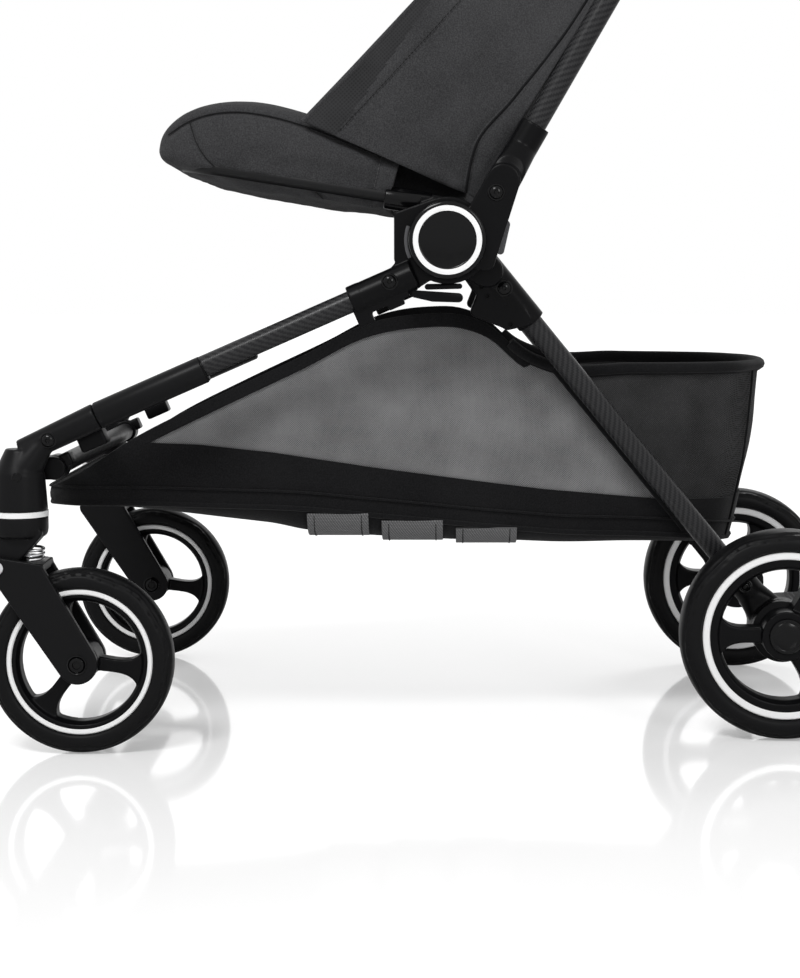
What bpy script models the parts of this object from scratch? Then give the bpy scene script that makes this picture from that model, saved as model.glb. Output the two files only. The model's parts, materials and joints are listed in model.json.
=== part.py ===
"""A compact stroller with three arms meeting at a round hub on each side.

Units are metres and +Z is up. The stroller faces -Y, and its left side is at +X.
Inside the script Y is measured from the hub axis, and an empty then sets the whole stroller so
that the centre of its bounding box stands on the origin.
"""

import math

import bmesh
import bpy
from mathutils import Matrix, Vector

# Driving dimensions
HUB_HEIGHT = 0.420
FRONT_TRACK = 0.430
REAR_TRACK_INSET = 0.102
REAR_TRACK = FRONT_TRACK - REAR_TRACK_INSET
TUBE_RADIUS = 0.009
TUBE_BORE_RADIUS = 0.0075
SOCKET_WALL = 0.0035
GAP = 0.0003
RUNNING_GAP = 0.0004
# A joined face stands this far off its neighbour, and a cutting tool runs this far past a face
SKIN = 0.0002
RUN_PAST = 0.01

FRONT_WHEEL_RADIUS = 0.0762
FRONT_TYRE_WIDTH = 0.028
FRONT_RIM_RADIUS = 0.058
REAR_WHEEL_RADIUS = 0.089
REAR_TYRE_WIDTH = 0.036
REAR_RIM_RADIUS = 0.066

FRONT_ARM_ANGLE = 180 + 23.7
FRONT_ARM_OFFSET = 0.014
REAR_ARM_ANGLE = -50.8
REAR_ARM_OFFSET = 0.0115
UPPER_ARM_ANGLE = 60.0
UPPER_ARM_OFFSET = -0.015

# Facets of round pieces
TUBE_SIDES = 12
SOCKET_SIDES = 16
DISC_SIDES = 24
WHEEL_SIDES = 36

# Layers of the hub, from the inside out
LEG_X = FRONT_TRACK / 2
HOUSING_IN = LEG_X - 0.0115
HOUSING_OUT = LEG_X + 0.0035
HOUSING_RADIUS = 0.042
UPPER_EYE_IN = HOUSING_OUT + 0.002
UPPER_EYE_OUT = UPPER_EYE_IN + 0.0135
UPPER_EYE_RADIUS = 0.030
REAR_EYE_OUT = HOUSING_IN - 0.003
REAR_EYE_IN = REAR_EYE_OUT - 0.018
REAR_EYE_RADIUS = 0.024
PIVOT_RADIUS = 0.006
PIVOT_HEAD_RADIUS = 0.010
PIVOT_HEAD = 0.005
CAP_RADIUS = 0.0315
CAP_THICKNESS = 0.008
SOCKET_RADIUS = TUBE_RADIUS + SOCKET_WALL
ARM_HALF_WIDTH = SOCKET_RADIUS + 0.001

UPPER_TUBE_X = LEG_X - 0.005
REAR_LEG_TOP_X = REAR_EYE_IN + 0.0025
LEG_TYRE_GAP = 0.012
REAR_LEG_BOTTOM_X = REAR_TRACK / 2 - REAR_TYRE_WIDTH / 2 - TUBE_RADIUS - LEG_TYRE_GAP

# Reaches along the arms, from the foot of the perpendicular that drops from the hub axis
SOCKET_DEPTH = 0.038
FRONT_SOCKET_START = 0.036
FRONT_SOCKET_END = 0.0973
COLLAR_START = 0.2218
COLLAR_RADIUS = TUBE_RADIUS + 0.0045
UPPER_SOCKET_START = 0.055
UPPER_SOCKET_END = 0.117
UPPER_BLOCK_START = 0.050
UPPER_BLOCK_END = 0.078
UPPER_TAIL = -0.018
UPPER_BLOCK_INSET = 0.008
WEB_LAP = 0.020
CLIP_REACH = (0.052, 0.093)
CLIP_DEPTH = (0.004, 0.025)
CLIP_HALF_WIDTH = 0.007
GUSSET_REACH = (0.018, 0.090)
GUSSET_DEPTH = (-0.027, -0.002)
GUSSET_X = (-0.012, 0.003)
REAR_SOCKET_START = 0.022
REAR_SOCKET_END = 0.097
REAR_BRACKET_LENGTH = 0.060

# Caster
CASTER_Y = -0.350
CASTER_TRAIL = 0.0494
KNUCKLE_RADIUS = 0.023
# The knuckle's dome: rise above the elbow, and share of the knuckle's radius
KNUCKLE_DOME = ((-0.002, 1.0), (0.007, 0.85), (0.012, 0.5))
FORK_PIVOT_LEAD = 0.0144
FORK_PIVOT_RISE = 0.0026
FORK_PIVOT_RADIUS = 0.0035
FORK_EAR_RADIUS = 0.0085
FORK_PLATE = 0.007
TYRE_CLEARANCE = 0.003
CROWN_TOP_RISE = 0.0061
CROWN_THICKNESS = 0.0075
CROWN_FRONT = 0.0105
CROWN_LENGTH = 0.0265
CUP_BOTTOM_RISE = 0.0196
CUP_HEIGHT = 0.028
STEM_RADIUS = 0.006
STEM_LENGTH = 0.040
LUG_HALF_WIDTH = 0.0125
SPRING_RADIUS = 0.0098
SPRING_WIRE = 0.0012
SPRING_TURNS = 2.5
SPRING_STEPS = 14
SPRING_SIDES = 6
AXLE_BOSS_RADIUS = 0.0165
AXLE_RADIUS = 0.004
AXLE_HEAD_RADIUS = 0.007
AXLE_HEAD = 0.003
CROSSBAR_RADIUS = 0.008
CROSSBAR_BEHIND = 0.026
CROSSBAR_RISE = 0.033
CROSSBAR_LUG = 0.009
CROSSBAR_LUG_WALL = 0.002
CROSSBAR_LUG_LAP = 0.004
CUP_BEVEL = 0.006
FORK_HEEL_RADIUS = 0.005

# Seat
SEAT_TUBE_RADIUS = 0.0065
SEAT_TUBE_WALL = 0.0015
SEAT_TUBE_INSET = 0.040
SEAT_TUBE_RISE = 0.0297
SEAT_TUBE_SLOPE = 9.0
SEAT_TUBE_REACH = 0.222
SEAT_TUBE_CORNER = 0.040
SEAT_TUBE_START = -0.006
BRIDGE_FRONT = -0.022
BRIDGE_BACK = -0.002
BRIDGE_WALL = 0.003
BRIDGE_LAP = 0.004
BRIDGE_COVER = 0.007
BRIDGE_CLEARANCE = 0.0015
PAD_CORNER_BACK = -0.045
PAD_CORNER_WIDTH = 0.020
CUSHION_GAP = 0.0006
PANEL_THICKNESS = 0.005
PANEL_GAP = 0.003
# Outlines in side view, from the hub axis: (back, up)
PAD_TOP = (
    (-0.249, 0.077), (-0.235, 0.097), (-0.200, 0.113), (-0.1755, 0.117),
    (-0.120, 0.108), (-0.060, 0.085), (0.005, 0.058), (0.018, 0.045),
)
PAD_UNDER = ((0.010, 0.0268), (-0.099, 0.030), (-0.150, 0.039), (-0.239, 0.062))
PANEL_OUTLINE = (
    (-0.112, 0.106), (-0.041, 0.064), (0.020, 0.036), (0.030, 0.070),
    (0.125, 0.220), (0.205, 0.358), (0.148, 0.372), (-0.022, 0.200),
)

# Basket: (back from the hub, half width, rim's share of the rise from the nose to the peak,
# floor above the front wheel's top)
BASKET_STATIONS = (
    (-0.329, 0.140, 0.000, 0.0416),
    (-0.312, 0.158, 0.028, 0.0406),
    (-0.200, 0.166, 0.502, 0.0376),
    (-0.120, 0.166, 0.795, 0.0286),
    (-0.004, 0.158, 1.000, 0.0226),
    (0.048, 0.150, 0.855, 0.0196),
    (0.092, 0.140, 0.742, 0.0166),
    (0.160, 0.126, 0.742, 0.0116),
    (0.220, 0.112, 0.742, 0.0056),
    (0.262, 0.088, 0.742, 0.0026),
    (0.283, 0.050, 0.742, 0.0006),
    (0.288, 0.000, 0.742, -0.0004),
)
# The nose hangs below the crossbar's axis, and the peak below the hub axis
BASKET_NOSE_DROP = 0.023
BASKET_PEAK_DROP = 0.0685
BASKET_WALL = 0.003
BASKET_TAPER = 0.96
BASKET_MIDDLE = -0.020

# Handle
CANOPY_PIVOT_REACH = 0.440
KNEE_REACH = 0.560
KNEE_ANGLE = 45.0
HANDLE_REACH = 0.160
HANDLE_CORNER = 0.050
GRIP_THICKNESS = 0.004
FOLD_HOUSING_HALF = 0.019
FOLD_HOUSING_HALF_WIDTH = 0.032
FOLD_BUTTON_HALF = (0.018, 0.007)
FOLD_BUTTON_DEPTH = 0.007
FOLD_BUTTON_PROUD = 0.0025
MOUNT_HALF_LENGTH = 0.024
MOUNT_WALL = 0.004
MOUNT_PIN_PROUD = 0.002
BOW_CLEARANCE = 0.0015
TUBE_MEETING = 0.008
HOUSING_BEVEL = 0.006
PRESS_ROOM = 0.001

# Backrest
BACKREST_ANGLE = 59.0
BACKREST_HINGE_BACK = 0.034
BACKREST_HINGE_RISE = 0.050
BACKREST_LENGTH = 0.500
BACKREST_HALF_WIDTH = 0.140
BACKREST_BOARD = 0.006
BACKREST_PAD = 0.022
BOARD_START = 0.012
PAD_INSET = 0.010

# Canopy
CANOPY_ANGLES = (78.0, 116.0, 165.0)
CANOPY_RADIUS = 0.250
CANOPY_CORNER = 0.080
BOW_THICKNESS = 0.0035
BOW_WIDTH = 0.010
CANOPY_CLOTH = 0.002
CANOPY_CLOTH_GAP = 0.002
CANOPY_HEM_TURN = 1.5
CANOPY_CLOTH_START = 0.040

# Rear axle and brake
REAR_BOSS_RADIUS = 0.026
REAR_BOSS_THICKNESS = 0.016
STUB_RADIUS = 0.005
WHEEL_SIDE_GAP = 0.002
AXLE_BAR_RADIUS = 0.008
DRUM_RADIUS = 0.0265
DRUM_THICKNESS = 0.007
PIN_RADIUS = 0.003
PIN_CIRCLE = 0.019
PIN_ANGLE = 30.0
PIN_LENGTH = 0.020
SLOT_COUNT = 8
PEDAL_HALF_WIDTH = 0.032
PEDAL_REACH = 0.052
PEDAL_WALL = 0.0045
PEDAL_LAP = 0.0025
# The paddle's lower and upper faces at its root and tip, from the axle
PEDAL_ROOT = (-0.005, 0.004)
PEDAL_TIP = (-0.001, 0.006)
BOSS_LAP = 0.004
STUB_PROUD = 0.001
FOOT_WALL = 0.001
LEG_END_SHORT = 0.010
PIN_REST = 0.0005
SLOT_ROOM = 0.0015
DRUM_FLOOR = 0.001

# Wheel centres
RIM_BAND = 0.0085
RIM_BOSS_RADIUS = 0.016
SPOKE_START = 0.010
SPOKE_END_INSET = 0.006
SPOKE_HALF_WIDTHS = (0.006, 0.0085)
SPOKE_INSET = 0.003
FRONT_RIM_HALF = 0.011
FRONT_SPOKES = (-8, 112, 232)
REAR_RIM_HALF = 0.014
REAR_SPOKES = (180, 60, -60)

# Buckle
BUCKLE_REACH = 0.120
BUCKLE_HALF_LENGTH = 0.022
BUCKLE_HALF_WIDTH = 0.026
BUCKLE_HEIGHT = 0.020
BUCKLE_BUTTON_RADIUS = 0.010
BUCKLE_BUTTON_DEPTH = 0.007
BUTTON_CLEARANCE = 0.0005
BUCKLE_POCKET_ROOM = 0.003
BUCKLE_BUTTON_PROUD = 0.0015

# Colours
CARBON = (0.030, 0.030, 0.032)
SATIN_BLACK = (0.012, 0.012, 0.013)
SOFT_BLACK = (0.018, 0.018, 0.019)
STEEL = (0.55, 0.55, 0.56)
CHARCOAL = (0.045, 0.045, 0.047)
MESH_GREY = (0.13, 0.13, 0.13)
TYRE_BLACK = (0.015, 0.015, 0.015)


class Arm:
    """A straight arm in the side plane: its angle, and how far its axis passes from the hub axis."""

    def __init__(self, angle, offset):
        self.along = Vector((math.cos(math.radians(angle)), math.sin(math.radians(angle))))
        self.across = Vector((-self.along.y, self.along.x))
        self.foot = Vector((0, HUB_HEIGHT)) + self.across * offset

    def at(self, reach, aside=0.0):
        """The point (y, z) at a reach along the arm and a distance aside from its axis."""
        return self.foot + self.along * reach + self.across * aside

    def reach_to_y(self, y):
        return (y - self.foot.x) / self.along.x

    def reach_to_z(self, z):
        return (z - self.foot.y) / self.along.y


FRONT_ARM = Arm(FRONT_ARM_ANGLE, FRONT_ARM_OFFSET)
REAR_ARM = Arm(REAR_ARM_ANGLE, REAR_ARM_OFFSET)
UPPER_ARM = Arm(UPPER_ARM_ANGLE, UPPER_ARM_OFFSET)

# Places that follow from the driving dimensions
HUB = Vector((0, 0, HUB_HEIGHT))
FORK_PIVOT = Vector((LEG_X, CASTER_Y - FORK_PIVOT_LEAD, 2 * FRONT_WHEEL_RADIUS + FORK_PIVOT_RISE))
CUP_BOTTOM = 2 * FRONT_WHEEL_RADIUS + CUP_BOTTOM_RISE
KNUCKLE_BOTTOM = CUP_BOTTOM + CUP_HEIGHT
CROSSBAR_Z = KNUCKLE_BOTTOM + CROSSBAR_RISE
FRONT_AXLE = Vector((LEG_X, CASTER_Y + CASTER_TRAIL, FRONT_WHEEL_RADIUS))
REAR_AXLE_REACH = REAR_ARM.reach_to_z(REAR_WHEEL_RADIUS)
REAR_AXLE_Y = REAR_ARM.at(REAR_AXLE_REACH).x
BRACKET_TOP_REACH = REAR_AXLE_REACH - REAR_BRACKET_LENGTH
REAR_WHEEL_X = REAR_TRACK / 2
ELBOW_REACH = FRONT_ARM.reach_to_y(CASTER_Y)
CANOPY_PIVOT = UPPER_ARM.at(CANOPY_PIVOT_REACH)
KNEE = UPPER_ARM.at(KNEE_REACH)
KNEE_DIRECTION = Vector((math.cos(math.radians(KNEE_ANGLE)), math.sin(math.radians(KNEE_ANGLE))))
HANDLE_END = KNEE + KNEE_DIRECTION * HANDLE_REACH
BACKREST_HINGE = Vector((BACKREST_HINGE_BACK, HUB_HEIGHT + BACKREST_HINGE_RISE))
SEAT_TUBE_X = LEG_X - SEAT_TUBE_INSET
SEAT_HALF_WIDTH = REAR_EYE_IN - 0.0045
REAR_REACH = HANDLE_END.x + FOLD_HOUSING_HALF
FRONT_REACH = FRONT_AXLE.y - FRONT_WHEEL_RADIUS
CENTRE_Y = -(REAR_REACH + FRONT_REACH) / 2


def clear_scene():
    for old in list(bpy.data.objects):
        bpy.data.objects.remove(old, do_unlink=True)


def material(name, colour, roughness, metallic=0.0):
    made = bpy.data.materials.new(name)
    made.use_nodes = True
    shader = made.node_tree.nodes["Principled BSDF"]
    shader.inputs["Base Color"].default_value = (*colour, 1.0)
    shader.inputs["Roughness"].default_value = roughness
    shader.inputs["Metallic"].default_value = metallic
    return made


def object_from(bm, name):
    """A new object from a bmesh whose faces are turned to point out."""
    bmesh.ops.recalc_face_normals(bm, faces=bm.faces)
    if bm.calc_volume(signed=True) < 0:
        bmesh.ops.reverse_faces(bm, faces=bm.faces)
    mesh = bpy.data.meshes.new(name)
    bm.to_mesh(mesh)
    bm.free()
    made = bpy.data.objects.new(name, mesh)
    bpy.context.scene.collection.objects.link(made)
    return made


def rings_solid(rings, name, closed=False):
    """A solid through rings of points; its ends are capped unless the rings close on themselves."""
    bm = bmesh.new()
    rows = [[bm.verts.new(point) for point in ring] for ring in rings]
    count = len(rows[0])
    pairs = list(zip(rows, rows[1:]))
    if closed:
        pairs.append((rows[-1], rows[0]))
    for one, two in pairs:
        for i in range(count):
            j = (i + 1) % count
            bm.faces.new((one[i], one[j], two[j], two[i]))
    if not closed:
        bm.faces.new(rows[0])
        bm.faces.new(rows[-1])
    return object_from(bm, name)


def turned(profile, sides, centre, name, axis="X", closed=False):
    """A turned solid: profile points are (distance along the axis, radius)."""
    rings = []
    for along, radius in profile:
        ring = []
        for k in range(sides):
            turn = 2 * math.pi * (k + 0.5) / sides
            flat = (radius * math.cos(turn), radius * math.sin(turn))
            if axis == "X":
                ring.append(Vector(centre) + Vector((along, flat[0], flat[1])))
            else:
                ring.append(Vector(centre) + Vector((flat[0], flat[1], along)))
        rings.append(ring)
    return rings_solid(rings, name, closed)


def clear_radius(radius, sides):
    """The corner radius of a faceted bore in which a round pin of this radius turns freely."""
    return (radius + RUNNING_GAP) / math.cos(math.pi / sides)


def cylinder_between(start, end, radius, sides, name):
    return sweep([Vector(start), Vector(end)], radius, sides, name)


def path_frames(points):
    """A direction and two cross axes at every point of a path, turned as little as possible."""
    count = len(points)
    directions = []
    for i in range(count):
        before = points[max(i - 1, 0)]
        after = points[min(i + 1, count - 1)]
        directions.append((after - before).normalized())
    side = directions[0].cross(Vector((0, 0, 1)))
    if side.length < 0.1:
        side = directions[0].cross(Vector((0, 1, 0)))
    side.normalize()
    frames = []
    for direction in directions:
        side = (side - direction * side.dot(direction)).normalized()
        frames.append((direction, side, direction.cross(side)))
    return frames


def path_rings(points, radius, sides):
    rings = []
    for point, (_, side, up) in zip(points, path_frames(points)):
        ring = []
        for k in range(sides):
            turn = 2 * math.pi * (k + 0.5) / sides
            ring.append(point + side * (radius * math.cos(turn)) + up * (radius * math.sin(turn)))
        rings.append(ring)
    return rings


def sweep(points, radius, sides, name):
    return rings_solid(path_rings(points, radius, sides), name)


def sleeve(points, inner, outer, sides, name):
    """A tube with open ends along a path."""
    outside = path_rings(points, outer, sides)
    inside = path_rings(points, inner, sides)
    return rings_solid(outside + inside[::-1], name, closed=True)


def prism(outline, low_x, high_x, name):
    """A flat outline of (y, z) points, extruded between two values of x."""
    rings = [[Vector((x, y, z)) for y, z in outline] for x in (low_x, high_x)]
    return rings_solid(rings, name)


def block(low, high, name):
    outline = [(low[1], low[2]), (high[1], low[2]), (high[1], high[2]), (low[1], high[2])]
    return prism(outline, low[0], high[0], name)


def rounded_path(corners, radius, steps=3):
    """Points along straight runs between corners, with each inner corner rounded."""
    points = [Vector(corners[0])]
    for before, corner, after in zip(corners, corners[1:], corners[2:]):
        before, corner, after = Vector(before), Vector(corner), Vector(after)
        back = (before - corner).normalized()
        ahead = (after - corner).normalized()
        half = back.angle(ahead) / 2
        distance = radius / math.tan(half)
        centre = corner + (back + ahead).normalized() * (radius / math.sin(half))
        start = corner + back * distance - centre
        end = corner + ahead * distance - centre
        axis = start.cross(end)
        for k in range(steps + 1):
            turn = Matrix.Rotation(start.angle(end) * k / steps, 3, axis)
            points.append(centre + turn @ start)
    points.append(Vector(corners[-1]))
    return points


def circle_points(centre, radius, count=16):
    points = []
    for k in range(count):
        turn = 2 * math.pi * k / count
        points.append((centre[0] + radius * math.cos(turn), centre[1] + radius * math.sin(turn)))
    return points


def convex_outline(points):
    """The convex outline around a set of flat points."""

    def chain(ordered):
        kept = []
        for p in ordered:
            while len(kept) > 1:
                (ax, ay), (bx, by) = kept[-2], kept[-1]
                if (bx - ax) * (p[1] - ay) - (by - ay) * (p[0] - ax) > 1e-9:
                    break
                kept.pop()
            kept.append(p)
        return kept[:-1]

    ordered = sorted(set(points))
    return chain(ordered) + chain(ordered[::-1])


def apply_boolean(target, tool, operation):
    modifier = target.modifiers.new(operation, "BOOLEAN")
    modifier.operation = operation
    modifier.object = tool
    modifier.solver = "EXACT"
    bpy.context.view_layer.objects.active = target
    bpy.ops.object.modifier_apply(modifier=modifier.name)
    bpy.data.objects.remove(tool, do_unlink=True)


def join(pieces):
    first = pieces[0]
    for other in pieces[1:]:
        apply_boolean(first, other, "UNION")
    return first


def cut(target, tools):
    for tool in tools:
        apply_boolean(target, tool, "DIFFERENCE")
    return target


class Body:
    """A rigid body: an empty on its joint axis, which carries the body's pieces."""

    made = {}

    def __init__(self, name, parent, pivot):
        self.pivot = Vector(pivot)
        self.empty = bpy.data.objects.new(name + "_axis", None)
        self.empty.empty_display_size = 0.02
        bpy.context.scene.collection.objects.link(self.empty)
        if parent:
            self.empty.parent = Body.made[parent].empty
            self.empty.location = self.pivot - Body.made[parent].pivot
        Body.made[name] = self


def place(piece, name, body, finish, smooth=True):
    """Name a finished piece, set its origin on its body's axis and give it a material."""
    carrier = Body.made[body]
    piece.name = name
    piece.data.name = name
    piece.data.transform(Matrix.Translation(-carrier.pivot))
    piece.parent = carrier.empty
    piece.data.materials.clear()
    colour, roughness, metallic = finish
    piece.data.materials.append(material(name, colour, roughness, metallic))
    if smooth:
        piece.data.shade_smooth()
        piece.data.set_sharp_from_angle(angle=math.radians(35))
    return piece


CARBON_FINISH = (CARBON, 0.35, 0.0)
SATIN_FINISH = (SATIN_BLACK, 0.45, 0.0)
GLOSS_FINISH = (SATIN_BLACK, 0.15, 0.0)
STEEL_FINISH = (STEEL, 0.3, 1.0)
FABRIC_FINISH = (CHARCOAL, 0.95, 0.0)
MESH_FINISH = (MESH_GREY, 0.9, 0.0)
FOAM_FINISH = (SOFT_BLACK, 0.8, 0.0)
TYRE_FINISH = (TYRE_BLACK, 0.7, 0.0)


def arm_plate(arm, start, end, low_x, high_x, name, low=-ARM_HALF_WIDTH, high=ARM_HALF_WIDTH):
    outline = [arm.at(start, low), arm.at(end, low), arm.at(end, high), arm.at(start, high)]
    return prism(outline, low_x, high_x, name)


def on_arm(arm, reach, x):
    y, z = arm.at(reach)
    return Vector((x, y, z))


def rear_leg_point(reach, side):
    """A point on the rear leg, which slants in towards the axle."""
    share = reach / REAR_AXLE_REACH
    x = REAR_LEG_TOP_X + (REAR_LEG_BOTTOM_X - REAR_LEG_TOP_X) * share
    return on_arm(REAR_ARM, reach, x * side)


def span(low, high, side):
    """Two values of x in order, mirrored for the right side."""
    return (low, high) if side > 0 else (-high, -low)


def x_rod(low, high, radius, sides, centre, name):
    """A round rod along X between two values of x, around a point (y, z)."""
    return turned([(low, radius), (high, radius)], sides, (0, centre[0], centre[1]), name)


def seat_tube_path():
    slope = math.tan(math.radians(SEAT_TUBE_SLOPE))
    start_z = HUB_HEIGHT + SEAT_TUBE_RISE
    back_z = start_z - SEAT_TUBE_START * slope
    front_z = start_z + SEAT_TUBE_REACH * slope
    corners = [
        (SEAT_TUBE_X, SEAT_TUBE_START, back_z),
        (SEAT_TUBE_X, -SEAT_TUBE_REACH, front_z),
        (-SEAT_TUBE_X, -SEAT_TUBE_REACH, front_z),
        (-SEAT_TUBE_X, SEAT_TUBE_START, back_z),
    ]
    return rounded_path(corners, SEAT_TUBE_CORNER)


def hub_housing(side):
    inner, outer = span(HOUSING_IN, HOUSING_OUT, side)
    disc = x_rod(inner, outer, HOUSING_RADIUS, DISC_SIDES, HUB.yz, "disc")
    web = arm_plate(FRONT_ARM, 0, FRONT_SOCKET_START + WEB_LAP, inner + SKIN, outer - SKIN, "web")
    socket = cylinder_between(
        on_arm(FRONT_ARM, FRONT_SOCKET_START, LEG_X * side),
        on_arm(FRONT_ARM, FRONT_SOCKET_END, LEG_X * side),
        SOCKET_RADIUS, SOCKET_SIDES, "socket",
    )
    clip_low, clip_high = span(LEG_X - CLIP_HALF_WIDTH, LEG_X + CLIP_HALF_WIDTH, side)
    clip = arm_plate(
        FRONT_ARM, *CLIP_REACH, clip_low, clip_high, "clip", low=CLIP_DEPTH[0], high=CLIP_DEPTH[1]
    )
    tube_side = SEAT_TUBE_X - SEAT_TUBE_RADIUS - BRIDGE_WALL
    bridge_low, bridge_high = span(tube_side, HOUSING_IN + BRIDGE_LAP, side)
    bridge = block(
        (bridge_low, BRIDGE_FRONT, HUB_HEIGHT + REAR_EYE_RADIUS + BRIDGE_CLEARANCE),
        (bridge_high, BRIDGE_BACK, HUB_HEIGHT + SEAT_TUBE_RISE + SEAT_TUBE_RADIUS + BRIDGE_COVER),
        "bridge",
    )
    housing = join([disc, web, socket, clip, bridge])
    low, high = span(HOUSING_IN - RUN_PAST, HOUSING_OUT + RUN_PAST, side)
    pivot_bore = x_rod(low, high, clear_radius(PIVOT_RADIUS, SOCKET_SIDES), SOCKET_SIDES, HUB.yz, "bore")
    leg_bore = cylinder_between(
        on_arm(FRONT_ARM, FRONT_SOCKET_END - SOCKET_DEPTH, LEG_X * side),
        on_arm(FRONT_ARM, FRONT_SOCKET_END + RUN_PAST, LEG_X * side),
        TUBE_RADIUS + GAP, TUBE_SIDES, "bore",
    )
    path = seat_tube_path() if side > 0 else seat_tube_path()[::-1]
    run_on = path[0] + (path[0] - path[1]).normalized() * GAP
    seat_bore = sweep([run_on, path[1]], SEAT_TUBE_RADIUS + GAP, TUBE_SIDES, "bore")
    return cut(housing, [pivot_bore, leg_bore, seat_bore])


def front_leg_tube(side):
    start = FRONT_SOCKET_END - SOCKET_DEPTH + GAP
    end = COLLAR_START + SOCKET_DEPTH - GAP
    ends = [on_arm(FRONT_ARM, start, LEG_X * side), on_arm(FRONT_ARM, end, LEG_X * side)]
    return sleeve(ends, TUBE_BORE_RADIUS, TUBE_RADIUS, TUBE_SIDES, "tube")


def knuckle(side):
    elbow_z = FRONT_ARM.at(ELBOW_REACH).y
    profile = [(KNUCKLE_BOTTOM, KNUCKLE_RADIUS)]
    profile += [(elbow_z + rise, KNUCKLE_RADIUS * share) for rise, share in KNUCKLE_DOME]
    post = turned(profile, DISC_SIDES, (LEG_X * side, CASTER_Y, 0), "post", axis="Z")
    collar = cylinder_between(
        on_arm(FRONT_ARM, COLLAR_START, LEG_X * side),
        on_arm(FRONT_ARM, ELBOW_REACH, LEG_X * side),
        COLLAR_RADIUS, SOCKET_SIDES, "collar",
    )
    lug_low, lug_high = span(crossbar_end(), LEG_X - KNUCKLE_RADIUS / 2, side)
    lug_y = CASTER_Y + CROSSBAR_BEHIND
    outline = convex_outline(
        circle_points((lug_y, CROSSBAR_Z), CROSSBAR_RADIUS + CROSSBAR_LUG_WALL)
        + circle_points((CASTER_Y + CROSSBAR_LUG_LAP, CROSSBAR_Z), CROSSBAR_RADIUS + CROSSBAR_LUG_WALL)
    )
    lug = prism(outline, lug_low, lug_high, "lug")
    whole = join([post, collar, lug])
    stem = clear_radius(STEM_RADIUS, SOCKET_SIDES)
    stem_bore = turned(
        [(KNUCKLE_BOTTOM - RUN_PAST, stem), (KNUCKLE_BOTTOM + STEM_LENGTH + RUNNING_GAP, stem)],
        SOCKET_SIDES, (LEG_X * side, CASTER_Y, 0), "bore", axis="Z",
    )
    tube_bore = cylinder_between(
        on_arm(FRONT_ARM, COLLAR_START - RUN_PAST, LEG_X * side),
        on_arm(FRONT_ARM, COLLAR_START + SOCKET_DEPTH, LEG_X * side),
        TUBE_RADIUS + GAP, TUBE_SIDES, "bore",
    )
    return cut(whole, [stem_bore, tube_bore])


def crossbar_end():
    return LEG_X - KNUCKLE_RADIUS - CROSSBAR_LUG


def front_crossbar():
    end = crossbar_end() - GAP
    centre = (CASTER_Y + CROSSBAR_BEHIND, CROSSBAR_Z)
    return x_rod(-end, end, CROSSBAR_RADIUS, TUBE_SIDES, centre, "bar")


def hub_pivot(side):
    inner = REAR_EYE_IN - GAP - PIVOT_HEAD
    profile = [
        (inner * side, PIVOT_HEAD_RADIUS),
        ((inner + PIVOT_HEAD) * side, PIVOT_HEAD_RADIUS),
        ((inner + PIVOT_HEAD) * side, PIVOT_RADIUS),
        (UPPER_EYE_OUT * side, PIVOT_RADIUS),
    ]
    return turned(profile, SOCKET_SIDES, HUB, "pivot")


def hub_cap(side):
    inner = UPPER_EYE_OUT + 2 * GAP
    profile = [
        (inner * side, CAP_RADIUS),
        ((inner + CAP_THICKNESS * 0.6) * side, CAP_RADIUS),
        ((inner + CAP_THICKNESS * 0.9) * side, CAP_RADIUS * 0.93),
        ((inner + CAP_THICKNESS) * side, CAP_RADIUS * 0.75),
    ]
    return turned(profile, DISC_SIDES, HUB, "cap")


def upper_socket(side):
    inner, outer = span(UPPER_EYE_IN, UPPER_EYE_OUT, side)
    eye = x_rod(inner, outer, UPPER_EYE_RADIUS, DISC_SIDES, HUB.yz, "eye")
    web = arm_plate(UPPER_ARM, UPPER_TAIL, UPPER_SOCKET_START + WEB_LAP, inner + SKIN, outer - SKIN, "web")
    low, high = span(UPPER_TUBE_X - UPPER_BLOCK_INSET, UPPER_EYE_OUT - 5 * SKIN, side)
    wide = ARM_HALF_WIDTH + 2.5 * SKIN
    shoulder = arm_plate(
        UPPER_ARM, UPPER_BLOCK_START, UPPER_BLOCK_END, low, high, "shoulder", low=-wide, high=wide
    )
    socket = cylinder_between(
        on_arm(UPPER_ARM, UPPER_SOCKET_START, UPPER_TUBE_X * side),
        on_arm(UPPER_ARM, UPPER_SOCKET_END, UPPER_TUBE_X * side),
        SOCKET_RADIUS, SOCKET_SIDES, "socket",
    )
    casting = join([eye, web, shoulder, socket])
    low, high = span(UPPER_EYE_IN - RUN_PAST, UPPER_EYE_OUT + RUN_PAST, side)
    pivot_bore = x_rod(low, high, clear_radius(PIVOT_RADIUS, SOCKET_SIDES), SOCKET_SIDES, HUB.yz, "bore")
    tube_bore = cylinder_between(
        on_arm(UPPER_ARM, UPPER_SOCKET_END - SOCKET_DEPTH, UPPER_TUBE_X * side),
        on_arm(UPPER_ARM, UPPER_SOCKET_END + RUN_PAST, UPPER_TUBE_X * side),
        TUBE_RADIUS + GAP, TUBE_SIDES, "bore",
    )
    return cut(casting, [pivot_bore, tube_bore])


def upper_tube(side):
    start = UPPER_SOCKET_END - SOCKET_DEPTH + GAP
    ends = [
        on_arm(UPPER_ARM, start, UPPER_TUBE_X * side),
        on_arm(UPPER_ARM, CANOPY_PIVOT_REACH - TUBE_MEETING, UPPER_TUBE_X * side),
    ]
    return sleeve(ends, TUBE_BORE_RADIUS, TUBE_RADIUS, TUBE_SIDES, "tube")


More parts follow.
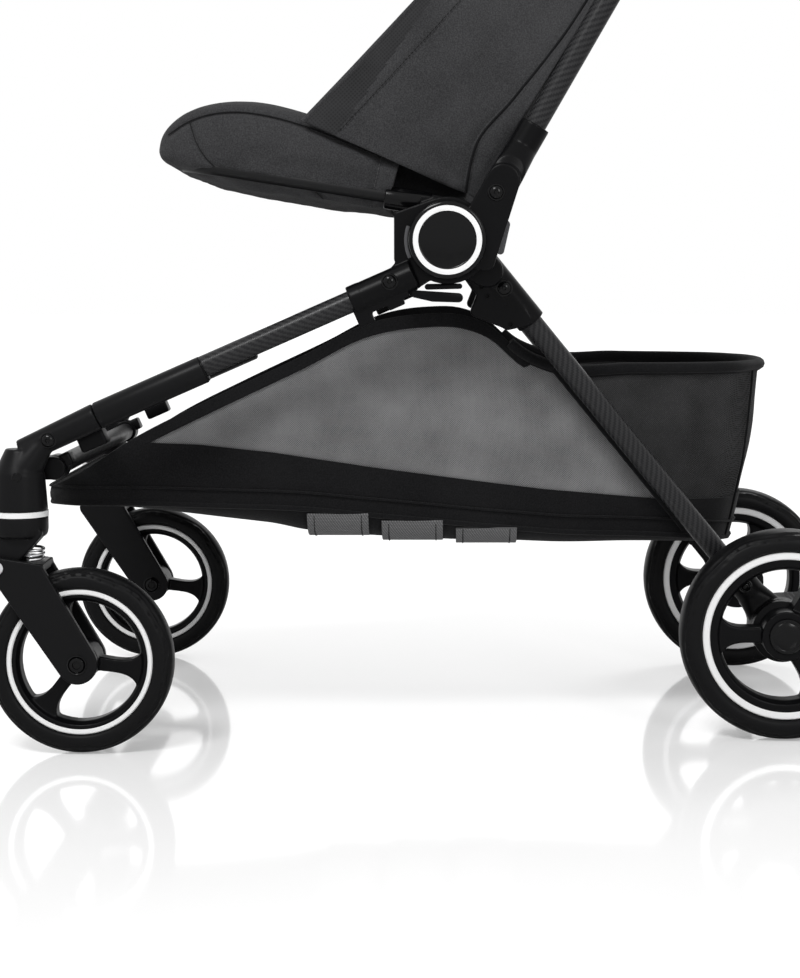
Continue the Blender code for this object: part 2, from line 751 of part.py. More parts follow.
def handle_path():
    start = UPPER_ARM.at(CANOPY_PIVOT_REACH + TUBE_MEETING)
    corners = [(UPPER_TUBE_X, start.x, start.y), (UPPER_TUBE_X, KNEE.x, KNEE.y)]
    corners.append((UPPER_TUBE_X, HANDLE_END.x, HANDLE_END.y))
    corners += [(-x, y, z) for x, y, z in corners[::-1]]
    return rounded_path(corners, HANDLE_CORNER)


def handle_grip(side):
    """Foam around one half of the crosspiece and its corner."""
    corner_start = HANDLE_END - KNEE_DIRECTION * (HANDLE_CORNER * 1.4)
    corners = [
        (UPPER_TUBE_X * side, corner_start.x, corner_start.y),
        (UPPER_TUBE_X * side, HANDLE_END.x, HANDLE_END.y),
        ((FOLD_HOUSING_HALF_WIDTH + GAP) * side, HANDLE_END.x, HANDLE_END.y),
    ]
    points = rounded_path(corners, HANDLE_CORNER)
    inner = TUBE_RADIUS / math.cos(math.pi / TUBE_SIDES) + GAP
    return sleeve(points, inner, inner + GRIP_THICKNESS, TUBE_SIDES, "grip")


def fold_housing():
    half = FOLD_HOUSING_HALF
    bevel = HOUSING_BEVEL
    y, z = HANDLE_END
    outline = [
        (y - half + bevel, z - half), (y + half - bevel, z - half),
        (y + half, z - half + bevel), (y + half, z + half - bevel),
        (y + half - bevel, z + half), (y - half + bevel, z + half),
        (y - half, z + half - bevel), (y - half, z - half + bevel),
    ]
    shell = prism(outline, -FOLD_HOUSING_HALF_WIDTH, FOLD_HOUSING_HALF_WIDTH, "housing")
    bore = clear_radius(TUBE_RADIUS, TUBE_SIDES)
    width = FOLD_HOUSING_HALF_WIDTH + RUN_PAST
    bar_bore = x_rod(-width, width, bore + GAP, TUBE_SIDES, HANDLE_END, "bore")
    half_x, half_y = FOLD_BUTTON_HALF
    pocket = block(
        (-half_x - BUTTON_CLEARANCE, y - half_y - BUTTON_CLEARANCE, z + half - FOLD_BUTTON_DEPTH),
        (half_x + BUTTON_CLEARANCE, y + half_y + BUTTON_CLEARANCE, z + half + RUN_PAST),
        "pocket",
    )
    return cut(shell, [bar_bore, pocket])


def fold_button():
    half_x, half_y = FOLD_BUTTON_HALF
    y, z = HANDLE_END
    top = z + FOLD_HOUSING_HALF + FOLD_BUTTON_PROUD
    bottom = top - FOLD_BUTTON_DEPTH + PRESS_ROOM
    return block((-half_x, y - half_y, bottom), (half_x, y + half_y, top), "button")


def canopy_layer(index):
    """The two values of x of a bow's eye: the front bow lies outside the rear one."""
    outer = UPPER_TUBE_X - TUBE_RADIUS - MOUNT_WALL - GAP - BOW_CLEARANCE
    outer -= index * (BOW_THICKNESS + GAP)
    return outer - BOW_THICKNESS, outer


def canopy_mount(side):
    """A sleeve that joins the upper tube to the handle and carries the canopy's pivot."""
    inner = TUBE_RADIUS / math.cos(math.pi / TUBE_SIDES) + GAP
    ends = [
        on_arm(UPPER_ARM, CANOPY_PIVOT_REACH - MOUNT_HALF_LENGTH, UPPER_TUBE_X * side),
        on_arm(UPPER_ARM, CANOPY_PIVOT_REACH + MOUNT_HALF_LENGTH, UPPER_TUBE_X * side),
    ]
    collar = sleeve(ends, inner, inner + MOUNT_WALL, TUBE_SIDES, "collar")
    low, high = span(canopy_layer(1)[0] - MOUNT_PIN_PROUD, UPPER_TUBE_X - inner - PRESS_ROOM, side)
    pin = x_rod(low, high, PIN_RADIUS, SOCKET_SIDES, CANOPY_PIVOT, "pin")
    return join([collar, pin])


def bow(angle, layer):
    """A flat hoop that turns about the canopy's pivots."""
    inner, outer = canopy_layer(layer)
    middle = (inner + outer) / 2
    tail = -BOW_WIDTH / 2
    corners = [(middle, tail), (middle, CANOPY_RADIUS), (-middle, CANOPY_RADIUS), (-middle, tail)]
    flat = rounded_path([(x, r, 0) for x, r in corners], CANOPY_CORNER)
    turn = math.radians(angle)
    out = Vector((0, math.cos(turn), math.sin(turn)))
    up = Vector((0, -math.sin(turn), math.cos(turn)))
    pivot = Vector((0, CANOPY_PIVOT.x, CANOPY_PIVOT.y))
    rings = []
    for point, (direction, _, _) in zip(flat, path_frames(flat)):
        normal = Vector((direction.y, -direction.x, 0)) * (BOW_THICKNESS / 2)
        ring = []
        for sign_n, sign_u in ((1, 1), (-1, 1), (-1, -1), (1, -1)):
            spot = point + normal * sign_n
            ring.append(pivot + Vector((spot.x, 0, 0)) + out * spot.y + up * (BOW_WIDTH / 2 * sign_u))
        rings.append(ring)
    hoop = rings_solid(rings, "bow")
    bores = []
    for side in (1, -1):
        low, high = span(inner - BOW_THICKNESS, outer + BOW_THICKNESS, side)
        radius = clear_radius(PIN_RADIUS, SOCKET_SIDES)
        bores.append(x_rod(low, high, radius, SOCKET_SIDES, CANOPY_PIVOT, "bore"))
    return cut(hoop, bores)


def canopy_section(angle, offset):
    """The canopy's outline across its width at one angle about the pivots."""
    room = BOW_THICKNESS / 2 + CANOPY_CLOTH_GAP + offset
    half = sum(canopy_layer(0)) / 2 + room
    radius = CANOPY_RADIUS + room
    corners = [(half, CANOPY_CLOTH_START), (half, radius), (-half, radius), (-half, CANOPY_CLOTH_START)]
    flat = rounded_path([(x, r, 0) for x, r in corners], CANOPY_CORNER + room)
    turn = math.radians(angle)
    out = Vector((0, math.cos(turn), math.sin(turn)))
    pivot = Vector((0, CANOPY_PIVOT.x, CANOPY_PIVOT.y))
    return [pivot + Vector((point.x, 0, 0)) + out * point.y for point in flat]


def canopy_fabric():
    back, middle, front = CANOPY_ANGLES
    angles = [back, (back + middle) / 2, middle, (middle + front) / 2, front, front + CANOPY_HEM_TURN]
    rings = []
    for angle in angles:
        outside = canopy_section(angle, CANOPY_CLOTH)
        inside = canopy_section(angle, 0)
        rings.append(outside + inside[::-1])
    return rings_solid(rings, "cloth")


def backrest_point(reach, ahead):
    """The point (y, z) at a reach up the backrest and a distance in front of its hinge line."""
    turn = math.radians(BACKREST_ANGLE)
    along = Vector((math.cos(turn), math.sin(turn)))
    return BACKREST_HINGE + along * reach + Vector((-along.y, along.x)) * ahead


def backrest_slab(start, end, low, high, half_width, name):
    corners = [(start, low), (end, low), (end, high), (start, high)]
    outline = [backrest_point(reach, ahead) for reach, ahead in corners]
    return prism(outline, -half_width, half_width, name)


def from_hub(points):
    return [(y, HUB_HEIGHT + z) for y, z in points]


def seat_pad():
    outline = from_hub(PAD_TOP + PAD_UNDER)
    pad = prism(outline, -SEAT_HALF_WIDTH, SEAT_HALF_WIDTH, "pad")
    tools = [sweep(seat_tube_path(), SEAT_TUBE_RADIUS + CUSHION_GAP, TUBE_SIDES, "channel")]
    for side in (1, -1):
        low, high = span(SEAT_HALF_WIDTH - PAD_CORNER_WIDTH, SEAT_HALF_WIDTH + RUN_PAST, side)
        tools.append(
            block((low, PAD_CORNER_BACK, HUB_HEIGHT), (high, HOUSING_RADIUS, 2 * HUB_HEIGHT), "corner")
        )
    return cut(pad, tools)


def side_panel(side):
    inner = SEAT_HALF_WIDTH + PANEL_GAP
    low, high = span(inner, inner + PANEL_THICKNESS, side)
    return prism(from_hub(PANEL_OUTLINE), low, high, "panel")


def basket():
    """A shallow tub of mesh: its floor slopes down to the back and its rim peaks under the hub."""
    loop = [(x, y, share, lift) for y, x, share, lift in BASKET_STATIONS]
    loop += [(-x, y, share, lift) for y, x, share, lift in BASKET_STATIONS[-2::-1]]
    nose = CROSSBAR_Z - BASKET_NOSE_DROP
    peak = HUB_HEIGHT - BASKET_PEAK_DROP
    outer_low, outer_top, inner_top, inner_low = [], [], [], []
    for x, y, share, lift in loop:
        rim = nose + (peak - nose) * share
        floor = 2 * FRONT_WHEEL_RADIUS + lift
        shrink = Vector((x, y - BASKET_MIDDLE, 0)).normalized() * BASKET_WALL * 1.2
        foot = x * BASKET_TAPER
        outer_low.append((foot, y, floor))
        outer_top.append((x, y, rim))
        inner_top.append((x - shrink.x, y - shrink.y, rim))
        inner_low.append((foot - shrink.x, y - shrink.y, floor + BASKET_WALL))
    return rings_solid([outer_low, outer_top, inner_top, inner_low], "tub")


def rear_socket(side):
    inner, outer = span(REAR_EYE_IN, REAR_EYE_OUT, side)
    eye = x_rod(inner, outer, REAR_EYE_RADIUS, DISC_SIDES, HUB.yz, "eye")
    socket = cylinder_between(
        rear_leg_point(REAR_SOCKET_START, side), rear_leg_point(REAR_SOCKET_END, side),
        SOCKET_RADIUS, SOCKET_SIDES, "socket",
    )
    low, high = span(REAR_LEG_TOP_X + GUSSET_X[0], REAR_LEG_TOP_X + GUSSET_X[1], side)
    gusset = arm_plate(
        REAR_ARM, *GUSSET_REACH, low, high, "gusset", low=GUSSET_DEPTH[0], high=GUSSET_DEPTH[1]
    )
    casting = join([eye, socket, gusset])
    low, high = span(REAR_EYE_IN - 2 * RUN_PAST, REAR_EYE_OUT + RUN_PAST, side)
    pivot_bore = x_rod(low, high, clear_radius(PIVOT_RADIUS, SOCKET_SIDES), SOCKET_SIDES, HUB.yz, "bore")
    tube_bore = cylinder_between(
        rear_leg_point(REAR_SOCKET_END - SOCKET_DEPTH, side),
        rear_leg_point(REAR_SOCKET_END + RUN_PAST, side),
        TUBE_RADIUS + GAP, TUBE_SIDES, "bore",
    )
    return cut(casting, [pivot_bore, tube_bore])


def rear_leg_tube(side):
    start = REAR_SOCKET_END - SOCKET_DEPTH + GAP
    end = BRACKET_TOP_REACH + SOCKET_DEPTH - LEG_END_SHORT - GAP
    ends = [rear_leg_point(start, side), rear_leg_point(end, side)]
    return sleeve(ends, TUBE_BORE_RADIUS, TUBE_RADIUS, TUBE_SIDES, "tube")


def brake_pin_centre():
    turn = math.radians(PIN_ANGLE)
    y = REAR_AXLE_Y + PIN_CIRCLE * math.cos(turn)
    return Vector((y, REAR_WHEEL_RADIUS + PIN_CIRCLE * math.sin(turn)))


def rear_boss_out():
    return REAR_WHEEL_X - REAR_TYRE_WIDTH / 2 - WHEEL_SIDE_GAP


def rear_bracket(side):
    axle = Vector((REAR_AXLE_Y, REAR_WHEEL_RADIUS))
    boss_out = rear_boss_out()
    inner, outer = span(boss_out - REAR_BOSS_THICKNESS, boss_out, side)
    boss = x_rod(inner, outer, REAR_BOSS_RADIUS, DISC_SIDES, axle, "boss")
    foot_low, foot_high = span(REAR_LEG_BOTTOM_X - SOCKET_RADIUS, boss_out - BOSS_LAP, side)
    foot = x_rod(foot_low, foot_high, SOCKET_RADIUS + FOOT_WALL, SOCKET_SIDES, axle, "foot")
    socket = cylinder_between(
        rear_leg_point(BRACKET_TOP_REACH, side),
        rear_leg_point(REAR_AXLE_REACH, side),
        SOCKET_RADIUS, SOCKET_SIDES, "socket",
    )
    stub_end = REAR_WHEEL_X + REAR_TYRE_WIDTH / 2 + STUB_PROUD
    stub_low, stub_high = span(boss_out - BOSS_LAP, stub_end, side)
    stub = x_rod(stub_low, stub_high, STUB_RADIUS, SOCKET_SIDES, axle, "stub")
    bracket = join([boss, foot, socket, stub])
    tube_bore = cylinder_between(
        rear_leg_point(BRACKET_TOP_REACH - RUN_PAST, side),
        rear_leg_point(BRACKET_TOP_REACH + SOCKET_DEPTH - LEG_END_SHORT, side),
        TUBE_RADIUS + GAP, TUBE_SIDES, "bore",
    )
    low, high = span(boss_out - REAR_BOSS_THICKNESS - RUN_PAST, boss_out + RUN_PAST, side)
    pin_radius = clear_radius(PIN_RADIUS, SOCKET_SIDES)
    pin_bore = x_rod(low, high, pin_radius, SOCKET_SIDES, brake_pin_centre(), "bore")
    return cut(bracket, [tube_bore, pin_bore])


def rear_axle_bar():
    end = REAR_LEG_BOTTOM_X - SOCKET_RADIUS - GAP
    return x_rod(-end, end, AXLE_BAR_RADIUS, TUBE_SIDES, (REAR_AXLE_Y, REAR_WHEEL_RADIUS), "bar")


def brake_pin(side):
    outer = rear_boss_out() - PIN_REST
    low, high = span(outer - PIN_LENGTH, outer, side)
    return x_rod(low, high, PIN_RADIUS, TUBE_SIDES, brake_pin_centre(), "pin")


def brake_pedal():
    inner = clear_radius(AXLE_BAR_RADIUS, SOCKET_SIDES)
    outer = inner + PEDAL_WALL
    half = PEDAL_HALF_WIDTH
    centre = (0, REAR_AXLE_Y, REAR_WHEEL_RADIUS)
    profile = [(-half, inner), (-half, outer), (half, outer), (half, inner)]
    ring = turned(profile, SOCKET_SIDES, centre, "ring", closed=True)
    y, z = REAR_AXLE_Y, REAR_WHEEL_RADIUS
    outline = [
        (y + outer - PEDAL_LAP, z + PEDAL_ROOT[0]), (y + PEDAL_REACH, z + PEDAL_TIP[0]),
        (y + PEDAL_REACH, z + PEDAL_TIP[1]), (y + outer - PEDAL_LAP, z + PEDAL_ROOT[1]),
    ]
    paddle = prism(outline, -half + 5 * SKIN, half - 5 * SKIN, "paddle")
    return join([ring, paddle])


def tyre(radius, rim_radius, width, centre):
    """A tyre whose flat facets reach exactly to the ground; its tread is flat across the middle."""
    half = width / 2
    sharp = 1 / math.cos(math.pi / WHEEL_SIDES)
    shoulder = rim_radius + (radius - rim_radius) * 0.45
    edge = radius - (radius - rim_radius) * 0.13
    profile = [
        (-half * 0.8, rim_radius), (-half, shoulder), (-half * 0.72, edge), (-half * 0.36, radius),
        (half * 0.36, radius), (half * 0.72, edge), (half, shoulder), (half * 0.8, rim_radius),
    ]
    sharpened = [(along, r * sharp) for along, r in profile]
    return turned(sharpened, WHEEL_SIDES, centre, "tyre", closed=True)


def rim(rim_radius, half_width, boss_half, bore_radius, centre, spoke_angles):
    """A wheel centre with a band, a boss and three spokes."""
    sharp = 1 / math.cos(math.pi / WHEEL_SIDES)
    outer = (rim_radius - GAP) * sharp
    inner = (rim_radius - RIM_BAND) * sharp
    profile = [(-half_width, inner), (-half_width, outer), (half_width, outer), (half_width, inner)]
    band = turned(profile, WHEEL_SIDES, centre, "band", closed=True)
    boss_profile = [(-boss_half, RIM_BOSS_RADIUS), (boss_half, RIM_BOSS_RADIUS)]
    boss = turned(boss_profile, SOCKET_SIDES, centre, "boss")
    spokes = []
    for angle in spoke_angles:
        turn = math.radians(angle)
        out = Vector((math.cos(turn), math.sin(turn)))
        aside = Vector((-out.y, out.x))
        middle = Vector((centre[1], centre[2]))
        start, end = SPOKE_START, rim_radius - SPOKE_END_INSET
        narrow, wide = SPOKE_HALF_WIDTHS
        outline = [
            middle + out * start - aside * narrow, middle + out * end - aside * wide,
            middle + out * end + aside * wide, middle + out * start + aside * narrow,
        ]
        depth = half_width - SPOKE_INSET
        spokes.append(prism(outline, centre[0] - depth, centre[0] + depth, "spoke"))
    wheel = join([band, boss] + spokes)
    low, high = centre[0] - boss_half - RUN_PAST, centre[0] + boss_half + RUN_PAST
    radius = clear_radius(bore_radius, SOCKET_SIDES)
    bore = x_rod(low, high, radius, SOCKET_SIDES, (centre[1], centre[2]), "bore")
    return cut(wheel, [bore])


def rear_rim(side):
    centre = (REAR_WHEEL_X * side, REAR_AXLE_Y, REAR_WHEEL_RADIUS)
    boss_half = REAR_TYRE_WIDTH / 2 - RUNNING_GAP
    wheel = rim(REAR_RIM_RADIUS, REAR_RIM_HALF, boss_half, STUB_RADIUS, centre, REAR_SPOKES)
    inner = REAR_WHEEL_X - REAR_TYRE_WIDTH / 2 + SKIN
    low, high = span(inner, inner + DRUM_THICKNESS, side)
    drum = x_rod(low, high, DRUM_RADIUS, DISC_SIDES, centre[1:], "drum")
    wheel = join([wheel, drum])
    stub_bore = clear_radius(STUB_RADIUS, SOCKET_SIDES)
    tools = [x_rod(low - 2 * RUN_PAST, high + 2 * RUN_PAST, stub_bore, SOCKET_SIDES, centre[1:], "bore")]
    slot_low, slot_high = span(inner - RUN_PAST, inner + DRUM_THICKNESS - DRUM_FLOOR, side)
    for k in range(SLOT_COUNT):
        turn = math.radians(PIN_ANGLE) + 2 * math.pi * k / SLOT_COUNT
        spot = (centre[1] + PIN_CIRCLE * math.cos(turn), centre[2] + PIN_CIRCLE * math.sin(turn))
        tools.append(x_rod(slot_low, slot_high, PIN_RADIUS + SLOT_ROOM, SPRING_SIDES, spot, "slot"))
    return cut(wheel, tools)


def front_rim(side):
    centre = (LEG_X * side, FRONT_AXLE.y, FRONT_AXLE.z)
    boss_half = FRONT_TYRE_WIDTH / 2 + STUB_PROUD
    return rim(FRONT_RIM_RADIUS, FRONT_RIM_HALF, boss_half, AXLE_RADIUS, centre, FRONT_SPOKES)


def fork_half_width():
    return FRONT_TYRE_WIDTH / 2 + TYRE_CLEARANCE


def front_axle(side):
    reach = fork_half_width() + FORK_PLATE + GAP
    profile = [
        (-reach - AXLE_HEAD, AXLE_HEAD_RADIUS), (-reach, AXLE_HEAD_RADIUS),
        (-reach, AXLE_RADIUS), (reach, AXLE_RADIUS),
        (reach, AXLE_HEAD_RADIUS), (reach + AXLE_HEAD, AXLE_HEAD_RADIUS),
    ]
    return turned(profile, SOCKET_SIDES, (LEG_X * side, FRONT_AXLE.y, FRONT_AXLE.z), "axle")


def swivel_cup(side):
    x = LEG_X * side
    top = KNUCKLE_BOTTOM - GAP
    profile = [
        (CUP_BOTTOM, KNUCKLE_RADIUS * 0.85), (CUP_BOTTOM + CUP_BEVEL, KNUCKLE_RADIUS),
        (top, KNUCKLE_RADIUS), (top, STEM_RADIUS), (KNUCKLE_BOTTOM + STEM_LENGTH, STEM_RADIUS),
    ]
    cup = turned(profile, DISC_SIDES, (x, CASTER_Y, 0), "cup", axis="Z")
    y, z = FORK_PIVOT.y, FORK_PIVOT.z
    radius = FORK_EAR_RADIUS - RUNNING_GAP
    lug_top = CUP_BOTTOM + CUP_BEVEL / 2
    outline = convex_outline(circle_points((y, z), radius) + [(y - radius, lug_top), (y + radius, lug_top)])
    lug = prism(outline, x - LUG_HALF_WIDTH, x + LUG_HALF_WIDTH, "lug")
    reach = fork_half_width() + FORK_PLATE
    pin = x_rod(x - reach, x + reach, FORK_PIVOT_RADIUS, SOCKET_SIDES, (y, z), "pin")
    return join([cup, lug, pin])


def crown_top():
    return 2 * FRONT_WHEEL_RADIUS + CROWN_TOP_RISE


def fork(side):
    x = LEG_X * side
    half = fork_half_width()
    pivot = (FORK_PIVOT.y, FORK_PIVOT.z)
    axle = (FRONT_AXLE.y, FRONT_AXLE.z)
    crown_front = FORK_PIVOT.y + CROWN_FRONT
    crown_back = crown_front + CROWN_LENGTH
    heel = (crown_back - FORK_HEEL_RADIUS, crown_top() - FORK_HEEL_RADIUS)
    outline = convex_outline(
        circle_points(pivot, FORK_EAR_RADIUS)
        + circle_points(heel, FORK_HEEL_RADIUS, 8)
        + circle_points(axle, AXLE_BOSS_RADIUS)
    )
    plates = []
    for sign in (1, -1):
        low, high = sorted((x + sign * half, x + sign * (half + FORK_PLATE)))
        plates.append(prism(outline, low, high, "plate"))
    crown = block(
        (x - half - FORK_PLATE / 2, crown_front, crown_top() - CROWN_THICKNESS),
        (x + half + FORK_PLATE / 2, crown_back - 5 * SKIN, crown_top() - SKIN),
        "crown",
    )
    whole = join([crown] + plates)
    reach = half + FORK_PLATE + RUN_PAST
    pivot_bore = x_rod(
        x - reach, x + reach, clear_radius(FORK_PIVOT_RADIUS, SOCKET_SIDES), SOCKET_SIDES, pivot, "bore"
    )
    axle_bore = x_rod(
        x - reach, x + reach, clear_radius(AXLE_RADIUS, SOCKET_SIDES), SOCKET_SIDES, axle, "bore"
    )
    return cut(whole, [pivot_bore, axle_bore])


def spring(side):
    """The caster's coil spring, between the fork's crown and the cup."""
    bottom = crown_top() + GAP + SPRING_WIRE
    top = CUP_BOTTOM - GAP - SPRING_WIRE
    centre_y = FORK_PIVOT.y + CROWN_FRONT + CROWN_LENGTH / 2
    steps = int(SPRING_TURNS * SPRING_STEPS)
    points = []
    for k in range(steps + 1):
        turn = 2 * math.pi * k / SPRING_STEPS
        z = bottom + (top - bottom) * k / steps
        x = LEG_X * side + SPRING_RADIUS * math.cos(turn)
        points.append(Vector((x, centre_y + SPRING_RADIUS * math.sin(turn), z)))
    return sweep(points, SPRING_WIRE, SPRING_SIDES, "spring")


def pad_face():
    """How far the backrest pad's face stands in front of the backrest's hinge line."""
    return BACKREST_BOARD / 2 + GAP + BACKREST_PAD


def buckle_point(along, off):
    """The point (y, z) at a distance along the pad from the buckle's middle, and off the pad."""
    return backrest_point(BUCKLE_REACH + along, pad_face() + off)


def buckle():
    """The harness buckle, which rests on the backrest pad with its button facing the child."""
    half = BUCKLE_HALF_LENGTH
    bottom = CUSHION_GAP
    corners = [
        (-half, bottom), (half, bottom), (half, BUCKLE_HEIGHT * 0.7),
        (half * 0.8, BUCKLE_HEIGHT), (-half * 0.8, BUCKLE_HEIGHT), (-half, BUCKLE_HEIGHT * 0.7),
    ]
    outline = [buckle_point(along, off) for along, off in corners]
    body = prism(outline, -BUCKLE_HALF_WIDTH, BUCKLE_HALF_WIDTH, "buckle")
    floor = BUCKLE_HEIGHT - BUCKLE_BUTTON_DEPTH - BUCKLE_POCKET_ROOM
    pocket = buckle_disc(floor, BUCKLE_HEIGHT + RUN_PAST, BUCKLE_BUTTON_RADIUS + BUTTON_CLEARANCE)
    return cut(body, [pocket])


def buckle_disc(low, high, radius):
    ends = [buckle_point(0, low), buckle_point(0, high)]
    return sweep([Vector((0, end.x, end.y)) for end in ends], radius, SOCKET_SIDES, "disc")


def buckle_button():
    top = BUCKLE_HEIGHT + BUCKLE_BUTTON_PROUD
    return buckle_disc(top - BUCKLE_BUTTON_DEPTH + PRESS_ROOM, top, BUCKLE_BUTTON_RADIUS)


def make_bodies():
    pivot = Vector((0, CANOPY_PIVOT.x, CANOPY_PIVOT.y))
    Body("root", None, (0, 0, 0))
    Body("handle_frame", "root", HUB)
    Body("rear_frame", "root", HUB)
    Body("backrest", "handle_frame", (0, BACKREST_HINGE.x, BACKREST_HINGE.y))
    Body("canopy_rear", "handle_frame", pivot)
    Body("canopy_front", "canopy_rear", pivot)
    Body("fold_button", "handle_frame", (0, HANDLE_END.x, HANDLE_END.y + FOLD_HOUSING_HALF))
    middle = buckle_point(0, BUCKLE_HEIGHT)
    Body("buckle_button", "backrest", (0, middle.x, middle.y))
    axle = Vector((0, REAR_AXLE_Y, REAR_WHEEL_RADIUS))
    Body("brake_pedal", "rear_frame", axle)
    pin_y, pin_z = brake_pin_centre()
    for name, side in (("left", 1), ("right", -1)):
        Body("brake_pin_" + name, "rear_frame", (rear_boss_out() * side, pin_y, pin_z))
        Body("rear_wheel_" + name, "rear_frame", axle + Vector((REAR_WHEEL_X * side, 0, 0)))
        Body("swivel_" + name, "root", (LEG_X * side, CASTER_Y, KNUCKLE_BOTTOM))
        Body("fork_" + name, "swivel_" + name, (LEG_X * side, FORK_PIVOT.y, FORK_PIVOT.z))
        Body("front_wheel_" + name, "fork_" + name, (LEG_X * side, FRONT_AXLE.y, FRONT_AXLE.z))


def make_side(name, side):
    """Every piece that the stroller has once on each side."""
    place(hub_housing(side), "hub_housing_" + name, "root", SATIN_FINISH)
    place(front_leg_tube(side), "front_leg_tube_" + name, "root", CARBON_FINISH)
    place(knuckle(side), "knuckle_" + name, "root", SATIN_FINISH)
    place(hub_pivot(side), "hub_pivot_" + name, "root", STEEL_FINISH)
    place(hub_cap(side), "hub_cap_" + name, "handle_frame", GLOSS_FINISH)
    place(upper_socket(side), "upper_socket_" + name, "handle_frame", SATIN_FINISH)
    place(upper_tube(side), "upper_tube_" + name, "handle_frame", CARBON_FINISH)
    place(canopy_mount(side), "canopy_mount_" + name, "handle_frame", SATIN_FINISH)
    place(handle_grip(side), "handle_grip_" + name, "handle_frame", FOAM_FINISH)
    place(side_panel(side), "side_panel_" + name, "handle_frame", FABRIC_FINISH)
    place(rear_socket(side), "rear_socket_" + name, "rear_frame", SATIN_FINISH)
    place(rear_leg_tube(side), "rear_leg_tube_" + name, "rear_frame", CARBON_FINISH)
    place(rear_bracket(side), "rear_bracket_" + name, "rear_frame", SATIN_FINISH)
    place(brake_pin(side), "brake_pin_" + name, "brake_pin_" + name, STEEL_FINISH)
    rear_centre = (REAR_WHEEL_X * side, REAR_AXLE_Y, REAR_WHEEL_RADIUS)
    rear = tyre(REAR_WHEEL_RADIUS, REAR_RIM_RADIUS, REAR_TYRE_WIDTH, rear_centre)
    place(rear, "rear_tyre_" + name, "rear_wheel_" + name, TYRE_FINISH)
    place(rear_rim(side), "rear_rim_" + name, "rear_wheel_" + name, SATIN_FINISH)
    place(swivel_cup(side), "swivel_cup_" + name, "swivel_" + name, SATIN_FINISH)
    place(spring(side), "spring_" + name, "swivel_" + name, STEEL_FINISH)
    place(fork(side), "fork_" + name, "fork_" + name, SATIN_FINISH)
    place(front_axle(side), "front_axle_" + name, "fork_" + name, STEEL_FINISH)
    front_centre = (LEG_X * side, FRONT_AXLE.y, FRONT_AXLE.z)
    front = tyre(FRONT_WHEEL_RADIUS, FRONT_RIM_RADIUS, FRONT_TYRE_WIDTH, front_centre)
    place(front, "front_tyre_" + name, "front_wheel_" + name, TYRE_FINISH)
    place(front_rim(side), "front_rim_" + name, "front_wheel_" + name, SATIN_FINISH)


def make_middle():
    """Every piece that the stroller has once."""
    place(front_crossbar(), "front_crossbar", "root", SATIN_FINISH)
    seat_tube = sleeve(
        seat_tube_path(), SEAT_TUBE_RADIUS - SEAT_TUBE_WALL, SEAT_TUBE_RADIUS, TUBE_SIDES, "tube"
    )
    place(seat_tube, "seat_frame_tube", "root", SATIN_FINISH)
    place(seat_pad(), "seat_pad", "root", FABRIC_FINISH)
    place(basket(), "basket", "root", MESH_FINISH)
    place(buckle(), "buckle", "backrest", SATIN_FINISH)
    place(buckle_button(), "buckle_button", "buckle_button", GLOSS_FINISH)
    bar = sleeve(handle_path(), TUBE_BORE_RADIUS, TUBE_RADIUS, TUBE_SIDES, "bar")
    place(bar, "handle_bar", "handle_frame", CARBON_FINISH)
    place(fold_housing(), "fold_housing", "handle_frame", SATIN_FINISH)
    place(fold_button(), "fold_button", "fold_button", GLOSS_FINISH)
    half = BACKREST_BOARD / 2
    board = backrest_slab(BOARD_START, BACKREST_LENGTH, -half, half, BACKREST_HALF_WIDTH, "board")
    place(board, "backrest_board", "backrest", SATIN_FINISH)
    start, end = BOARD_START + PAD_INSET, BACKREST_LENGTH - PAD_INSET
    pad = backrest_slab(start, end, half + GAP, pad_face(), BACKREST_HALF_WIDTH, "pad")
    place(pad, "backrest_pad", "backrest", FABRIC_FINISH)
    place(bow(CANOPY_ANGLES[1], 1), "canopy_bow_rear", "canopy_rear", SATIN_FINISH)
    place(bow(CANOPY_ANGLES[2], 0), "canopy_bow_front", "canopy_front", SATIN_FINISH)
    place(canopy_fabric(), "canopy_fabric", "handle_frame", FABRIC_FINISH)
    place(rear_axle_bar(), "rear_axle_bar", "rear_frame", SATIN_FINISH)
    place(brake_pedal(), "brake_pedal", "brake_pedal", SATIN_FINISH)


def main():
    clear_scene()
    make_bodies()
    make_middle()
    for name, side in (("left", 1), ("right", -1)):
        make_side(name, side)
    Body.made["root"].empty.location.y = CENTRE_Y


main()
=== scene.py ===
import json
import math

import bmesh
import bpy
import numpy as np
from mathutils import Matrix, Vector, noise
from mathutils.bvhtree import BVHTree
from mathutils.kdtree import KDTree

